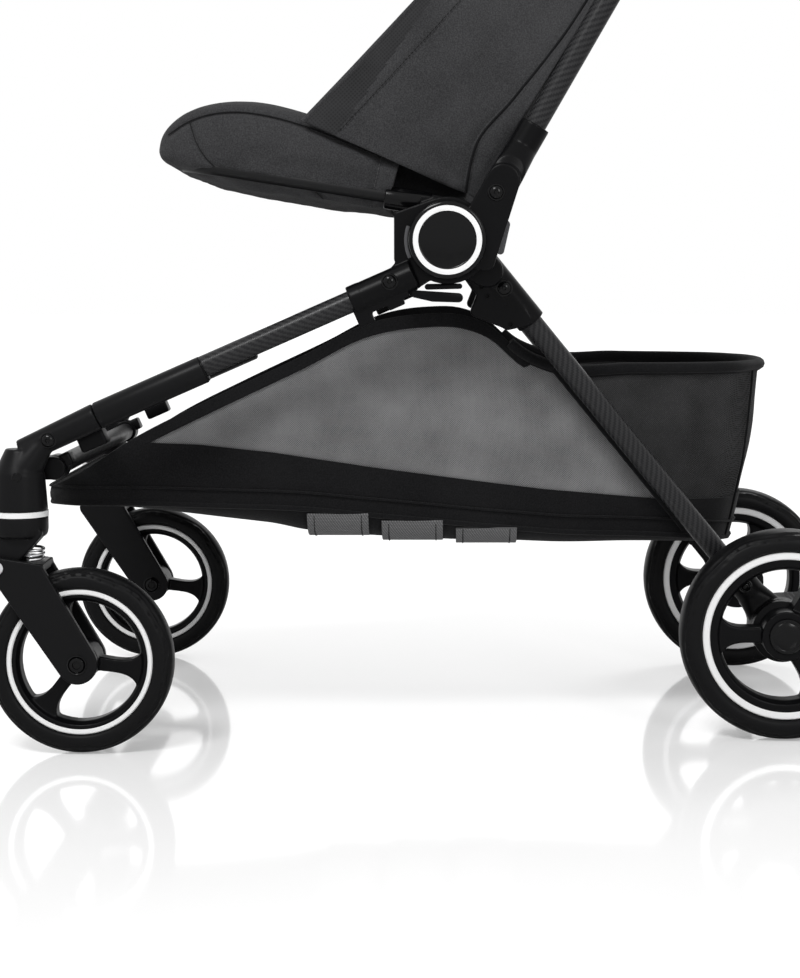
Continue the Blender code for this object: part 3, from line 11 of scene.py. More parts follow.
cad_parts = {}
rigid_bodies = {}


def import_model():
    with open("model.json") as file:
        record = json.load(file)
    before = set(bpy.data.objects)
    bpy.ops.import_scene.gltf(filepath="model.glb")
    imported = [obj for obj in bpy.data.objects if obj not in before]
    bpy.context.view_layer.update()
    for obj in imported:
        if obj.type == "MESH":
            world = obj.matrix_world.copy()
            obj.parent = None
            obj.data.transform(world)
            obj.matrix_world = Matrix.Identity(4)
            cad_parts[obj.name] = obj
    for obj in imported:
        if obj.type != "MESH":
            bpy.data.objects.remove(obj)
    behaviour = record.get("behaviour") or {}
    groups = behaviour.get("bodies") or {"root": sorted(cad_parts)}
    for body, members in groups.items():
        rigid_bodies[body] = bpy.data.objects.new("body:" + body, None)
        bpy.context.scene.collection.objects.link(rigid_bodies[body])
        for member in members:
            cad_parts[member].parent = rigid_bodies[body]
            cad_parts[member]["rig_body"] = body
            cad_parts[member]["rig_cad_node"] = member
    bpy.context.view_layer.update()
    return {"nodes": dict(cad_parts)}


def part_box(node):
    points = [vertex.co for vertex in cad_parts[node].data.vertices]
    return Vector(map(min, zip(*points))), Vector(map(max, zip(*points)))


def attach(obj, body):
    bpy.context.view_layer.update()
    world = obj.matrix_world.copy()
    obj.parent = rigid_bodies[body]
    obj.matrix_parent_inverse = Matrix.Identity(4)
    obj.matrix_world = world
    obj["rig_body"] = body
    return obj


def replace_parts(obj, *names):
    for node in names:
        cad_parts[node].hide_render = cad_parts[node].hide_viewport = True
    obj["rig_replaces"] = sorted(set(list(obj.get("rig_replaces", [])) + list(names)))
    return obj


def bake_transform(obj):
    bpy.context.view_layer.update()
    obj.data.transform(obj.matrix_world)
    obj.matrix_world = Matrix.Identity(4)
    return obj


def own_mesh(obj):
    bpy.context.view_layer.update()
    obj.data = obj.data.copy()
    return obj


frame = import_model()

# Main places of the stroller, in metres
HUB = Vector((0, -0.024164, 0.420))
LEG_X = 0.215
UPPER_TUBE_X = 0.210
TUBE_RADIUS = 0.009
SOCKET_RADIUS = 0.0125
HOUSING_IN = 0.2035
HOUSING_OUT = 0.2185
UPPER_EYE_IN = 0.2205
UPPER_EYE_OUT = 0.234
REAR_EYE_IN = 0.1825
REAR_EYE_OUT = 0.2005
CAP_IN = 0.2346
CASTER_Y = HUB.y - 0.350
KNUCKLE_BOTTOM = 0.200
KNUCKLE_RADIUS = 0.023
CUP_BOTTOM = 0.172
CROWN_TOP = 0.1585
RING_BOTTOM = KNUCKLE_BOTTOM - 0.0048
RING_TOP = KNUCKLE_BOTTOM - 0.0004
SLEEVE_RADIUS = 0.0113
SLEEVE_DROP = 0.0021
FORK_PIVOT = Vector((LEG_X, HUB.y - 0.3644, 0.155))
FRONT_AXLE = Vector((LEG_X, HUB.y - 0.3006, 0.0762))
REAR_AXLE = Vector((0.164, HUB.y + 0.284797, 0.089))
FRONT_TYRE_HALF = 0.014
REAR_TYRE_HALF = 0.018

SIDES = 48


class Arm:
    """A straight arm in the side plane: its angle, and how far its axis passes from the hub axis."""

    def __init__(self, angle, offset):
        turn = math.radians(angle)
        self.along = Vector((0, math.cos(turn), math.sin(turn)))
        self.across = Vector((0, -math.sin(turn), math.cos(turn)))
        self.foot = HUB + self.across * offset

    def at(self, x, reach, aside=0.0):
        point = self.foot + self.along * reach + self.across * aside
        return Vector((x, point.y, point.z))


FRONT_TILT = 23.7
FRONT_ARM = Arm(180 + FRONT_TILT, 0.014)
REAR_ARM = Arm(-50.8, 0.0115)
UPPER_ARM = Arm(60.0, -0.015)
REAR_AXLE_REACH = (REAR_AXLE.z - REAR_ARM.foot.z) / REAR_ARM.along.z


def from_hub(x, y, z):
    return Vector((x, HUB.y + y, HUB.z + z))


def ramp(value, start, width):
    """A share that grows from 0 to 1 over a width and then stays."""
    return min(max((value - start) / width, 0.0), 1.0)


def squared(value, power):
    """A sine or cosine pushed out, which makes a circle a rounded square."""
    return math.copysign(abs(value) ** power, value)


def moved(points, x):
    return [point + Vector((x, 0, 0)) for point in points]


def rear_leg_point(reach):
    """A point on the left rear leg, which slants in towards the axle."""
    share = reach / REAR_AXLE_REACH
    return REAR_ARM.at(0.185 + (0.125 - 0.185) * share, reach)


# Materials


class Finish:
    """A node material around one Principled shader."""

    def __init__(self, name, colour, roughness, metallic=0.0, shine=0.5):
        self.material = bpy.data.materials.new(name)
        self.material.use_nodes = True
        self.tree = self.material.node_tree
        self.shader = self.tree.nodes["Principled BSDF"]
        self.shader.inputs["Base Color"].default_value = (*colour, 1)
        self.shader.inputs["Roughness"].default_value = roughness
        self.shader.inputs["Metallic"].default_value = metallic
        self.shader.inputs["Specular IOR Level"].default_value = shine
        self.coordinates = self.tree.nodes.new("ShaderNodeTexCoord")

    def node(self, kind, **values):
        made = self.tree.nodes.new(kind)
        for key, value in values.items():
            setattr(made, key, value)
        return made

    def link(self, output, target):
        self.tree.links.new(output, target)

    def place(self, scale):
        mapping = self.node("ShaderNodeMapping")
        mapping.inputs["Scale"].default_value = scale
        self.link(self.coordinates.outputs["Object"], mapping.inputs["Vector"])
        return mapping.outputs["Vector"]

    def noise(self, scale, detail=3.0, vector=None):
        texture = self.node("ShaderNodeTexNoise")
        texture.inputs["Scale"].default_value = scale
        texture.inputs["Detail"].default_value = detail
        self.link(vector or self.coordinates.outputs["Object"], texture.inputs["Vector"])
        return texture.outputs["Fac"]

    def math(self, operation, one, two=None, three=None):
        made = self.node("ShaderNodeMath", operation=operation)
        for socket, value in zip(made.inputs, (one, two, three)):
            if value is None:
                continue
            if isinstance(value, (int, float)):
                socket.default_value = value
            else:
                self.link(value, socket)
        return made.outputs[0]

    def spread(self, value, low, high, start=0.0, end=1.0):
        made = self.node("ShaderNodeMapRange")
        for key, number in (("From Min", low), ("From Max", high), ("To Min", start), ("To Max", end)):
            made.inputs[key].default_value = number
        self.link(value, made.inputs["Value"])
        return made.outputs["Result"]

    def paint(self, share, first, second):
        mix = self.node("ShaderNodeMix", data_type="RGBA")
        mix.inputs[6].default_value = (*first, 1)
        mix.inputs[7].default_value = (*second, 1)
        self.link(share, mix.inputs[0])
        self.link(mix.outputs[2], self.shader.inputs["Base Color"])

    def gloss_between(self, share, low, high):
        self.link(self.spread(share, 0, 1, low, high), self.shader.inputs["Roughness"])

    def bump(self, height, strength, distance):
        made = self.node("ShaderNodeBump")
        made.inputs["Strength"].default_value = strength
        made.inputs["Distance"].default_value = distance
        self.link(height, made.inputs["Height"])
        self.link(made.outputs["Normal"], self.shader.inputs["Normal"])

    def axes(self, source="Object"):
        split = self.node("ShaderNodeSeparateXYZ")
        self.link(self.coordinates.outputs[source], split.inputs[0])
        return split.outputs

    def wave(self, value, pitch):
        """A smooth wave from 0 to 1 that repeats every pitch."""
        turn = self.math("MULTIPLY", value, 2 * math.pi / pitch)
        return self.math("MULTIPLY_ADD", self.math("SINE", turn), 0.5, 0.5)


def moulded(name, colour, roughness, grain=0.06):
    """Moulded plastic with a fine grain and slightly uneven gloss."""
    finish = Finish(name, colour, roughness, shine=0.08)
    finish.gloss_between(finish.noise(55, 4), roughness - 0.06, roughness + 0.1)
    finish.bump(finish.noise(2600, 2), grain, 0.0004)
    return finish.material


def metal(name, colour, roughness):
    finish = Finish(name, colour, roughness, 1.0)
    streaks = finish.noise(1.0, 3, finish.place((120, 2400, 2400)))
    finish.gloss_between(streaks, roughness - 0.08, roughness + 0.12)
    finish.bump(streaks, 0.05, 0.0003)
    return finish.material


def carbon():
    """Woven carbon under a satin lacquer. UV is metres along the tube and around it."""
    tow = 0.0016
    finish = Finish("carbon_twill", (0.02, 0.02, 0.021), 0.34, shine=0.12)
    along, around, _ = finish.axes("UV")
    first = finish.math("FLOOR", finish.math("DIVIDE", along, tow))
    second = finish.math("FLOOR", finish.math("DIVIDE", around, tow))
    step = finish.math("FLOORED_MODULO", finish.math("ADD", first, second), 4.0)
    over = finish.math("LESS_THAN", step, 1.5)
    ridge_one = finish.wave(along, tow)
    ridge_two = finish.wave(around, tow)
    mix = finish.node("ShaderNodeMix", data_type="FLOAT")
    finish.link(over, mix.inputs[0])
    finish.link(ridge_one, mix.inputs[2])
    finish.link(ridge_two, mix.inputs[3])
    shade = finish.math("MULTIPLY_ADD", over, 0.75, finish.math("MULTIPLY", mix.outputs[0], 0.25))
    finish.paint(shade, (0.009, 0.009, 0.010), (0.026, 0.026, 0.027))
    finish.gloss_between(over, 0.26, 0.40)
    finish.bump(mix.outputs[0], 0.12, 0.0002)
    finish.shader.inputs["Coat Weight"].default_value = 0.12
    finish.shader.inputs["Coat Roughness"].default_value = 0.25
    return finish.material


def woven(name, dark, light, pitch=0.0011, strength=0.45):
    """Melange cloth: a fine weave on all three axes, with flecks and soft cloudy wear."""
    finish = Finish(name, dark, 0.95, shine=0.05)
    x, y, z = finish.axes()
    diagonal = finish.math("ADD", y, z)
    other = finish.math("SUBTRACT", finish.math("ADD", x, y), z)
    weave = finish.math("MULTIPLY", finish.wave(diagonal, pitch), finish.wave(other, pitch))
    flecks = finish.spread(finish.noise(900, 2), 0.35, 0.7)
    clouds = finish.spread(finish.noise(14, 4), 0.3, 0.7)
    share = finish.math("MULTIPLY_ADD", flecks, 0.55, finish.math("MULTIPLY", clouds, 0.3))
    share = finish.math("MULTIPLY_ADD", weave, 0.25, share)
    finish.paint(share, dark, light)
    finish.shader.inputs["Sheen Weight"].default_value = 0.08
    finish.shader.inputs["Sheen Roughness"].default_value = 0.5
    height = finish.math("MULTIPLY_ADD", flecks, 0.4, weave)
    finish.bump(height, strength, 0.0006)
    return finish.material


def net(name, dark, light, clear, pitch):
    """Open mesh: threads around small holes, which let some light through."""
    finish = Finish(name, dark, 0.8, shine=0.06)
    x, y, z = finish.axes()
    run = finish.math("ADD", y, finish.math("MULTIPLY", x, 0.6))
    one = finish.wave(finish.math("ADD", run, z), pitch)
    two = finish.wave(finish.math("SUBTRACT", run, z), pitch)
    hole = finish.math("MULTIPLY", one, two)
    clouds = finish.spread(finish.noise(22, 4), 0.3, 0.7)
    share = finish.math("MULTIPLY_ADD", clouds, 0.45, finish.math("MULTIPLY", hole, 0.55))
    finish.paint(share, light, dark)
    alpha = finish.spread(hole, 0.15, 0.6, 1.0, 1.0 - clear)
    finish.link(alpha, finish.shader.inputs["Alpha"])
    finish.bump(hole, 0.3, 0.0005)
    return finish.material


def webbing(name, colour, pitch=0.0016):
    """Flat woven strap. UV is metres along the strap and across it."""
    finish = Finish(name, colour, 0.8, shine=0.1)
    along, across, _ = finish.axes("UV")
    rib = finish.wave(along, pitch)
    herring = finish.wave(finish.math("MULTIPLY_ADD", along, 0.5, across), pitch * 1.4)
    share = finish.math("MULTIPLY", rib, herring)
    finish.paint(share, tuple(c * 0.55 for c in colour), tuple(c * 1.5 for c in colour))
    finish.bump(share, 0.6, 0.0005)
    return finish.material


def foam(name, colour):
    finish = Finish(name, colour, 0.8, shine=0.1)
    pores = finish.node("ShaderNodeTexVoronoi")
    pores.inputs["Scale"].default_value = 900
    finish.link(finish.coordinates.outputs["Object"], pores.inputs["Vector"])
    finish.paint(pores.outputs["Distance"], tuple(c * 0.6 for c in colour), tuple(c * 1.6 for c in colour))
    finish.bump(pores.outputs["Distance"], 0.4, 0.0005)
    return finish.material


def painted(name, colour, roughness):
    finish = Finish(name, colour, roughness, shine=0.16)
    finish.gloss_between(finish.noise(140, 4), roughness - 0.06, roughness + 0.12)
    finish.bump(finish.noise(700, 2), 0.03, 0.0003)
    return finish.material


CARBON = carbon()
SATIN = moulded("satin_black", (0.003, 0.003, 0.0034), 0.29)
SOFT_SATIN = moulded("satin_dark_grey", (0.0065, 0.0065, 0.007), 0.33, 0.07)
GLOSS = painted("gloss_black", (0.0025, 0.0025, 0.0028), 0.13)
STEEL = metal("bright_steel", (0.62, 0.62, 0.63), 0.28)
DARK_STEEL = metal("black_steel", (0.025, 0.025, 0.026), 0.32)
POWDER = painted("black_powder_coat", (0.007, 0.007, 0.0075), 0.36)
WHITE = painted("white_ring", (0.86, 0.86, 0.86), 0.42)
GREY = moulded("grey_plastic", (0.095, 0.095, 0.1), 0.45)
TYRE = moulded("tyre_rubber", (0.006, 0.006, 0.0064), 0.38, 0.10)
FOAM = foam("grip_foam", (0.018, 0.018, 0.019))
CLOTH = woven("charcoal_cloth", (0.020, 0.020, 0.0212), (0.066, 0.066, 0.0685))
DARK_CLOTH = woven("black_cloth", (0.004, 0.004, 0.0045), (0.014, 0.014, 0.0148))
SIDE_NET = net("grey_net", (0.070, 0.070, 0.071), (0.215, 0.215, 0.218), 0.3, 0.0018)
REAR_NET = net("black_net", (0.007, 0.007, 0.007), (0.046, 0.046, 0.047), 0.2, 0.0016)
BAND_CLOTH = net("wing_air_net", (0.014, 0.014, 0.0145), (0.036, 0.036, 0.0375), 0.0, 0.0034)
THREAD = woven("black_thread", (0.006, 0.006, 0.006), (0.02, 0.02, 0.02), 0.0006)
LIGHT_THREAD = woven("grey_thread", (0.05, 0.05, 0.052), (0.11, 0.11, 0.112), 0.0006)
STRAP = webbing("black_webbing", (0.016, 0.016, 0.017))
GREY_STRAP = webbing("grey_webbing", (0.170, 0.170, 0.173))


# Making and finishing pieces


def only(piece):
    """Select one piece and make it active."""
    bpy.ops.object.select_all(action="DESELECT")
    piece.select_set(True)
    bpy.context.view_layer.objects.active = piece
    return piece


def settle(piece):
    """Apply a piece's place, turn and size to its mesh."""
    only(piece)
    bpy.ops.object.transform_apply(location=True, rotation=True, scale=True)
    return piece


def editing(piece):
    """Open one piece in edit mode with all of it selected."""
    only(piece)
    bpy.ops.object.mode_set(mode="EDIT")
    bpy.ops.mesh.select_all(action="SELECT")


def sealed(piece):
    """Turn every face of the open piece outwards, and leave edit mode."""
    bpy.ops.mesh.select_all(action="SELECT")
    bpy.ops.mesh.normals_make_consistent(inside=False)
    bpy.ops.object.mode_set(mode="OBJECT")
    return settle(piece)


def modified(piece, kind, **values):
    only(piece)
    modifier = piece.modifiers.new(kind.lower(), kind)
    for key, value in values.items():
        setattr(modifier, key, value)
    bpy.ops.object.modifier_apply(modifier=modifier.name)
    return piece


def rod(start, end, radius, end_radius=None, sides=SIDES):
    """A round rod or cone between two points."""
    start, end = Vector(start), Vector(end)
    direction = end - start
    bpy.ops.object.select_all(action="DESELECT")
    bpy.ops.mesh.primitive_cone_add(
        vertices=sides,
        radius1=radius,
        radius2=radius if end_radius is None else end_radius,
        depth=direction.length,
        location=(start + end) / 2,
        rotation=direction.to_track_quat("Z", "Y").to_euler(),
    )
    return settle(bpy.context.object)


def disc(centre, radius, low_x, high_x, sides=SIDES):
    """A round plate across X, around a point's y and z."""
    return rod((low_x, centre[1], centre[2]), (high_x, centre[1], centre[2]), radius, sides=sides)


def joined(pieces):
    only(pieces[0])
    for piece in pieces[1:]:
        piece.select_set(True)
    if len(pieces) > 1:
        bpy.ops.object.join()
    return bpy.context.object


def hull(pieces):
    """The tight skin around several simple pieces."""
    whole = joined(pieces)
    editing(whole)
    bpy.ops.mesh.convex_hull()
    bpy.ops.object.mode_set(mode="OBJECT")
    return whole


def plate(spots, low_x, high_x, sides=24):
    """A flat link around several round spots, each (point, radius)."""
    return hull([disc(point, radius, low_x, high_x, sides) for point, radius in spots])


def softened(piece, width, segments=3, angle=35):
    modified(piece, "BEVEL", width=width, segments=segments, limit_method="ANGLE",
             angle_limit=math.radians(angle), harden_normals=False)
    return piece


def cast(pieces, grain, rounds, keep):
    """One casting from overlapping pieces, with its edges and inner corners rounded over."""
    whole = joined(pieces)
    modified(whole, "REMESH", mode="VOXEL", voxel_size=grain)
    modified(whole, "SMOOTH", factor=0.5, iterations=rounds)
    modified(whole, "DECIMATE", ratio=keep)
    return whole


def without(piece, tools):
    """Cut tools out of a piece."""
    for tool in tools:
        modified(piece, "BOOLEAN", operation="DIFFERENCE", object=tool, solver="EXACT")
        bpy.data.objects.remove(tool, do_unlink=True)
    return piece


def turned(profile, centre, axis=(1, 0, 0), sides=64):
    """A turned piece: each station of its profile is (distance along the axis, radius)."""
    along, radius = profile[0]
    bpy.ops.object.select_all(action="DESELECT")
    bpy.ops.mesh.primitive_circle_add(vertices=sides, radius=radius, fill_type="NGON", location=(0, 0, along))
    piece = bpy.context.object
    editing(piece)
    for next_along, next_radius in profile[1:]:
        bpy.ops.mesh.extrude_region_move(TRANSFORM_OT_translate={"value": (0, 0, next_along - along)})
        share = next_radius / radius
        bpy.ops.transform.resize(value=(share, share, 1), center_override=(0, 0, next_along))
        along, radius = next_along, next_radius
    sealed(piece)
    turn = Vector(axis).to_track_quat("Z", "Y").to_matrix().to_4x4()
    piece.data.transform(Matrix.Translation(Vector(centre)) @ turn)
    return piece


def spun(section, centre, steps):
    """A ring around X: its closed section's points are (distance along X, radius)."""
    bpy.ops.object.select_all(action="DESELECT")
    bpy.ops.mesh.primitive_circle_add(vertices=len(section), radius=0.01)
    piece = bpy.context.object
    for vertex, (along, radius) in zip(piece.data.vertices, section):
        vertex.co = (centre[0] + along, centre[1], centre[2] + radius)
    editing(piece)
    bpy.ops.mesh.spin(steps=steps, angle=2 * math.pi, center=centre, axis=(1, 0, 0), use_auto_merge=True)
    bpy.ops.mesh.select_all(action="SELECT")
    bpy.ops.mesh.remove_doubles(threshold=0.00001)
    return sealed(piece)


def bent_path(corners, radius, steps):
    """Points along straight runs between corners, with each inner corner rounded."""
    points = [Vector(corners[0])]
    for before, corner, after in zip(corners, corners[1:], corners[2:]):
        before, corner, after = Vector(before), Vector(corner), Vector(after)
        back = (before - corner).normalized()
        ahead = (after - corner).normalized()
        half = back.angle(ahead) / 2
        distance = radius / math.tan(half)
        centre = corner + (back + ahead).normalized() * (radius / math.sin(half))
        start = corner + back * distance - centre
        end = corner + ahead * distance - centre
        axis = start.cross(end)
        for k in range(steps + 1):
            points.append(centre + Matrix.Rotation(start.angle(end) * k / steps, 3, axis) @ start)
    points.append(Vector(corners[-1]))
    return points


def pipe(points, radius, sides=32, closed=False):
    """A round bar along a path, with metres along and around it in its UV map."""
    bpy.ops.object.select_all(action="DESELECT")
    bpy.ops.curve.primitive_nurbs_path_add()
    curve = bpy.context.object
    data = curve.data
    data.splines.clear()
    line = data.splines.new("POLY")
    line.points.add(len(points) - 1)
    for spot, point in zip(line.points, points):
        spot.co = (*point, 1)
    line.use_cyclic_u = closed
    data.twist_mode = "MINIMUM"
    data.bevel_depth = radius
    data.bevel_resolution = sides // 4 - 1
    data.use_fill_caps = not closed
    only(curve)
    bpy.ops.object.convert(target="MESH")
    piece = settle(bpy.context.object)
    tube_map(piece, points, radius)
    return piece


def tube_map(piece, points, radius):
    """UV map of a pipe: metres along its path, and metres around it."""
    path = np.array([tuple(p) for p in points])
    steps = np.diff(path, axis=0)
    lengths = np.linalg.norm(steps, axis=1)
    starts = np.concatenate(([0.0], np.cumsum(lengths)[:-1]))
    spots = np.array([tuple(v.co) for v in piece.data.vertices])
    best = np.full(len(spots), 1e9)
    along = np.zeros(len(spots))
    around = np.zeros(len(spots))
    for origin, step, length, start in zip(path[:-1], steps, lengths, starts):
        direction = step / length
        share = np.clip((spots - origin) @ direction, 0, length)
        off = spots - origin - share[:, None] * direction
        gap = np.linalg.norm(off, axis=1)
        side = np.cross(direction, (0.0, 0.0, 1.0) if abs(direction[2]) < 0.9 else (1.0, 0.0, 0.0))
        side /= np.linalg.norm(side)
        up = np.cross(side, direction)
        turn = np.arctan2(off @ up, off @ side)
        nearer = gap < best
        best[nearer] = gap[nearer]
        along[nearer] = start + share[nearer]
        around[nearer] = turn[nearer] * radius
    mesh = piece.data
    layer = mesh.uv_layers.active or mesh.uv_layers.new(name="UVMap")
    whole = 2 * math.pi * radius
    for face in mesh.polygons:
        corners = [mesh.loops[i].vertex_index for i in face.loop_indices]
        top = max(around[c] for c in corners)
        for index, corner in zip(face.loop_indices, corners):
            value = around[corner]
            if top - value > whole / 2:
                value += whole
            layer.data[index].uv = (along[corner], value)


def finished(piece, name, body, material, nodes=(), angle=40):
    """Name a piece, give it its finish, and let it ride on its body."""
    settle(piece)
    piece.name = name
    piece.data.name = name
    piece.data.materials.clear()
    piece.data.materials.append(material)
    only(piece)
    bpy.ops.object.shade_smooth_by_angle(angle=math.radians(angle))
    if nodes:
        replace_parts(piece, *nodes)
    if body:
        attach(piece, body)
    return piece


def other_side(piece, swap=("left", "right")):
    """The right-hand copy of a finished left-hand piece, with its own mesh."""
    copy = piece.copy()
    copy.data = piece.data.copy()
    bpy.context.scene.collection.objects.link(copy)
    copy.parent = None
    copy.data.transform(Matrix.Scale(-1, 4, Vector((1, 0, 0))))
    copy.data.flip_normals()
    name = piece.name.replace(*swap)
    copy.name = name
    copy.data.name = name
    nodes = [node.replace(*swap) for node in piece.get("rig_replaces", [])]
    if "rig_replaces" in copy:
        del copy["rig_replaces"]
    if nodes:
        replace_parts(copy, *nodes)
    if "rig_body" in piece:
        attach(copy, piece["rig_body"].replace(*swap))
    return copy


def on_both_sides(piece, name, body, material, nodes=(), angle=40):
    left = finished(piece, name + "_left", body, material, nodes, angle)
    return left, other_side(left)


def tilted_box(centre, size, turn=0.0):
    """A box whose long side in the side plane is turned about X, in degrees."""
    bpy.ops.object.select_all(action="DESELECT")
    bpy.ops.mesh.primitive_cube_add(
        size=1, location=centre, rotation=(math.radians(turn), 0, 0), scale=size
    )
    return settle(bpy.context.object)


def screw(centre, radius, body, name):
    """A domed screw in a shallow seat, with a round recess."""
    profile = [
        (-0.0012, radius * 1.28), (0.0, radius * 1.28), (0.0005, radius * 1.2), (0.0005, radius * 1.02),
        (0.0002, radius * 0.98), (0.0010, radius * 0.95), (0.0019, radius * 0.78),
        (0.0025, radius * 0.5), (0.0027, radius * 0.34), (0.0017, radius * 0.26),
    ]
    return on_both_sides(turned(profile, centre, sides=40), name, body, GLOSS)


def sheet_block(outline, low_x, high_x):
    """A block from an outline of (y, z) points around the hub, extruded along X."""
    bpy.ops.object.select_all(action="DESELECT")
    bpy.ops.mesh.primitive_circle_add(vertices=len(outline), radius=0.01, fill_type="NGON")
    piece = bpy.context.object
    for vertex, (y, z) in zip(piece.data.vertices, outline):
        vertex.co = from_hub(low_x, y, z)
    editing(piece)
    bpy.ops.mesh.extrude_region_move(TRANSFORM_OT_translate={"value": (high_x - low_x, 0, 0)})
    return sealed(piece)


# Camera, light and floor


def camera():
    pitch = math.radians(3.4)
    focal_px, height_px = 2112.0, 978.0
    # The level line of sight meets the picture right of and above its centre by these
    right_px, above_px = 50, 224
    bpy.ops.object.camera_add(location=(1.935, HUB.y + 0.002, 0.400))
    eye = bpy.context.object
    eye.name = "photo_camera"
    eye.rotation_euler = (math.pi / 2 - pitch, 0, math.pi / 2)
    eye.data.sensor_width = 36
    eye.data.lens = 36 * focal_px / height_px
    eye.data.shift_x = -right_px / height_px
    eye.data.shift_y = -(above_px - focal_px * math.tan(pitch)) / height_px
    bpy.context.scene.camera = eye


def lamp(name, location, size, power, target):
    bpy.ops.object.light_add(type="AREA", location=location)
    made = bpy.context.object
    made.name = name
    made.data.shape = "RECTANGLE"
    made.data.size, made.data.size_y = size
    made.data.energy = power
    made.rotation_euler = (Vector(target) - Vector(location)).to_track_quat("-Z", "Y").to_euler()


def floor():
    bpy.ops.object.select_all(action="DESELECT")
    bpy.ops.mesh.primitive_plane_add(size=30, location=(0, 0, -0.0004))
    ground = bpy.context.object
    ground.name = "floor"
    finish = Finish("pale_floor", (0.9, 0.9, 0.9), 0.07)
    finish.shader.inputs["IOR"].default_value = 1.6
    finish.paint(finish.noise(3, 2), (0.90, 0.90, 0.90), (0.94, 0.94, 0.94))
    seen = finish.node("ShaderNodeLightPath").outputs["Is Camera Ray"]
    finish.shader.inputs["Emission Color"].default_value = (1, 1, 1, 1)
    finish.link(finish.math("MULTIPLY", seen, 0.30), finish.shader.inputs["Emission Strength"])
    ground.data.materials.append(finish.material)


def sky():
    world = bpy.data.worlds.new("studio")
    bpy.context.scene.world = world
    world.use_nodes = True
    tree = world.node_tree
    background = tree.nodes["Background"]
    background.inputs["Color"].default_value = (1, 1, 1, 1)
    path = tree.nodes.new("ShaderNodeLightPath")
    seen = tree.nodes.new("ShaderNodeMath")
    seen.operation = "MAXIMUM"
    tree.links.new(path.outputs["Is Camera Ray"], seen.inputs[0])
    both = tree.nodes.new("ShaderNodeMath")
    both.operation = "MAXIMUM"
    tree.links.new(path.outputs["Is Transmission Ray"], both.inputs[0])
    tree.links.new(seen.outputs[0], both.inputs[1])
    tree.links.new(path.outputs["Is Glossy Ray"], seen.inputs[1])
    strength = tree.nodes.new("ShaderNodeMapRange")
    strength.inputs["To Min"].default_value = 0.42
    strength.inputs["To Max"].default_value = 1.0
    tree.links.new(both.outputs[0], strength.inputs["Value"])
    tree.links.new(strength.outputs["Result"], background.inputs["Strength"])


bpy.context.scene.view_settings.view_transform = "Standard"
camera()
lamp("key_light", (1.9, -0.9, 2.3), (0.9, 0.6), 42, (0, 0, 0.4))
lamp("side_light", (2.4, 1.2, 1.3), (0.5, 0.9), 14, (0, 0, 0.4))
lamp("back_light", (-1.8, 1.0, 2.0), (0.9, 0.7), 15, (0, 0, 0.4))
floor()
sky()


# Wheels


def tyre_section(half, inner, outer):
    """The closed section of a tyre, from one bead over the tread to the other."""
    height = outer - inner
    side = [
        (0.74, 0.0), (0.88, 0.04), (0.97, 0.14), (1.0, 0.30), (0.995, 0.45), (0.955, 0.60),
        (0.88, 0.74), (0.76, 0.86), (0.60, 0.94), (0.40, 0.985), (0.20, 1.0), (0.0, 1.0),
    ]
    right = [(half * a, inner + height * r) for a, r in side]
    left = [(-a, r) for a, r in right[-2::-1]]
    inner_wall = [(-half * 0.35, inner - 0.0006), (half * 0.35, inner - 0.0006)]
    return right + left + inner_wall


def grooved(piece, centre, inner, outer, waves, depth):
    """Press two fine wavy grooves into each shoulder of a tyre."""
    modified(piece, "SUBSURF", levels=1, render_levels=1)
    mesh = piece.data
    mesh.calc_loop_triangles()
    for vertex in mesh.vertices:
        out = Vector((0, vertex.co.y - centre[1], vertex.co.z - centre[2]))
        turn = math.atan2(out.z, out.y)
        share = (out.length - inner) / (outer - inner)
        swing = math.sin(turn * waves)
        for base, reach in ((0.66, 0.09), (0.84, 0.045)):
            line = base + reach * swing
            press = max(0.0, 1 - abs(share - line) / 0.050)
            if press > 0:
                vertex.co -= vertex.normal * depth * press
    return piece


def wheel_ring(centre, x, inner, outer, thickness):
    half = thickness / 2
    section = [
        (x - half, inner + half), (x - half, outer - half), (x, outer), (x + half, outer - half),
        (x + half, inner + half), (x, inner),
    ]
    return spun(section, centre, 120)


def flared_spoke(centre, angle, near, far, halves, depth):
    """A spoke that runs out from the boss and flares smoothly into the band."""
    turn = math.radians(angle)
    out = Vector((0, math.cos(turn), math.sin(turn)))
    aside = Vector((0, -out.z, out.y))
    waist, tip = halves
    outline = []
    for side, steps in ((1, range(15)), (-1, range(14, -1, -1))):
        for k in steps:
            share = k / 14
            half = waist * (1 + 0.3 * (1 - share) ** 4) + (tip - waist) * share**7
            spot = Vector(centre) + out * (near + (far - near) * share) + aside * half * side
            outline.append((spot.y - HUB.y, spot.z - HUB.z))
    return sheet_block(outline, centre[0] - depth, centre[0] + depth)


def rim_casting(centre, half, band_in, band_out, angles, boss_radius, boss_half, spoke):
    """A wheel centre: a band with lips, a boss, and spokes that flare into the band."""
    band = spun([(-half, band_in + 0.003), (-half, band_out), (half, band_out), (half, band_in + 0.003),
                 (half * 0.55, band_in), (-half * 0.55, band_in)], centre, 96)
    pieces = [band, disc(centre, boss_radius, centre[0] - boss_half, centre[0] + boss_half, 64)]
    depth = half - 0.0035
    for angle in angles:
        pieces.append(flared_spoke(centre, angle, boss_radius * 0.4, band_in + 0.002, spoke, depth))
    return cast(pieces, 0.0010, 5, 0.4)


def tyre(word, centre, half, inner, outer, waves, depth, steps):
    """A grooved tyre on both wheels of an axle."""
    piece = spun(tyre_section(half, inner, outer), centre, steps)
    grooved(piece, centre, inner, outer, waves, depth)
    on_both_sides(piece, word + "_tyre_tread", word + "_wheel_left", TYRE, [word + "_tyre_left"], 60)


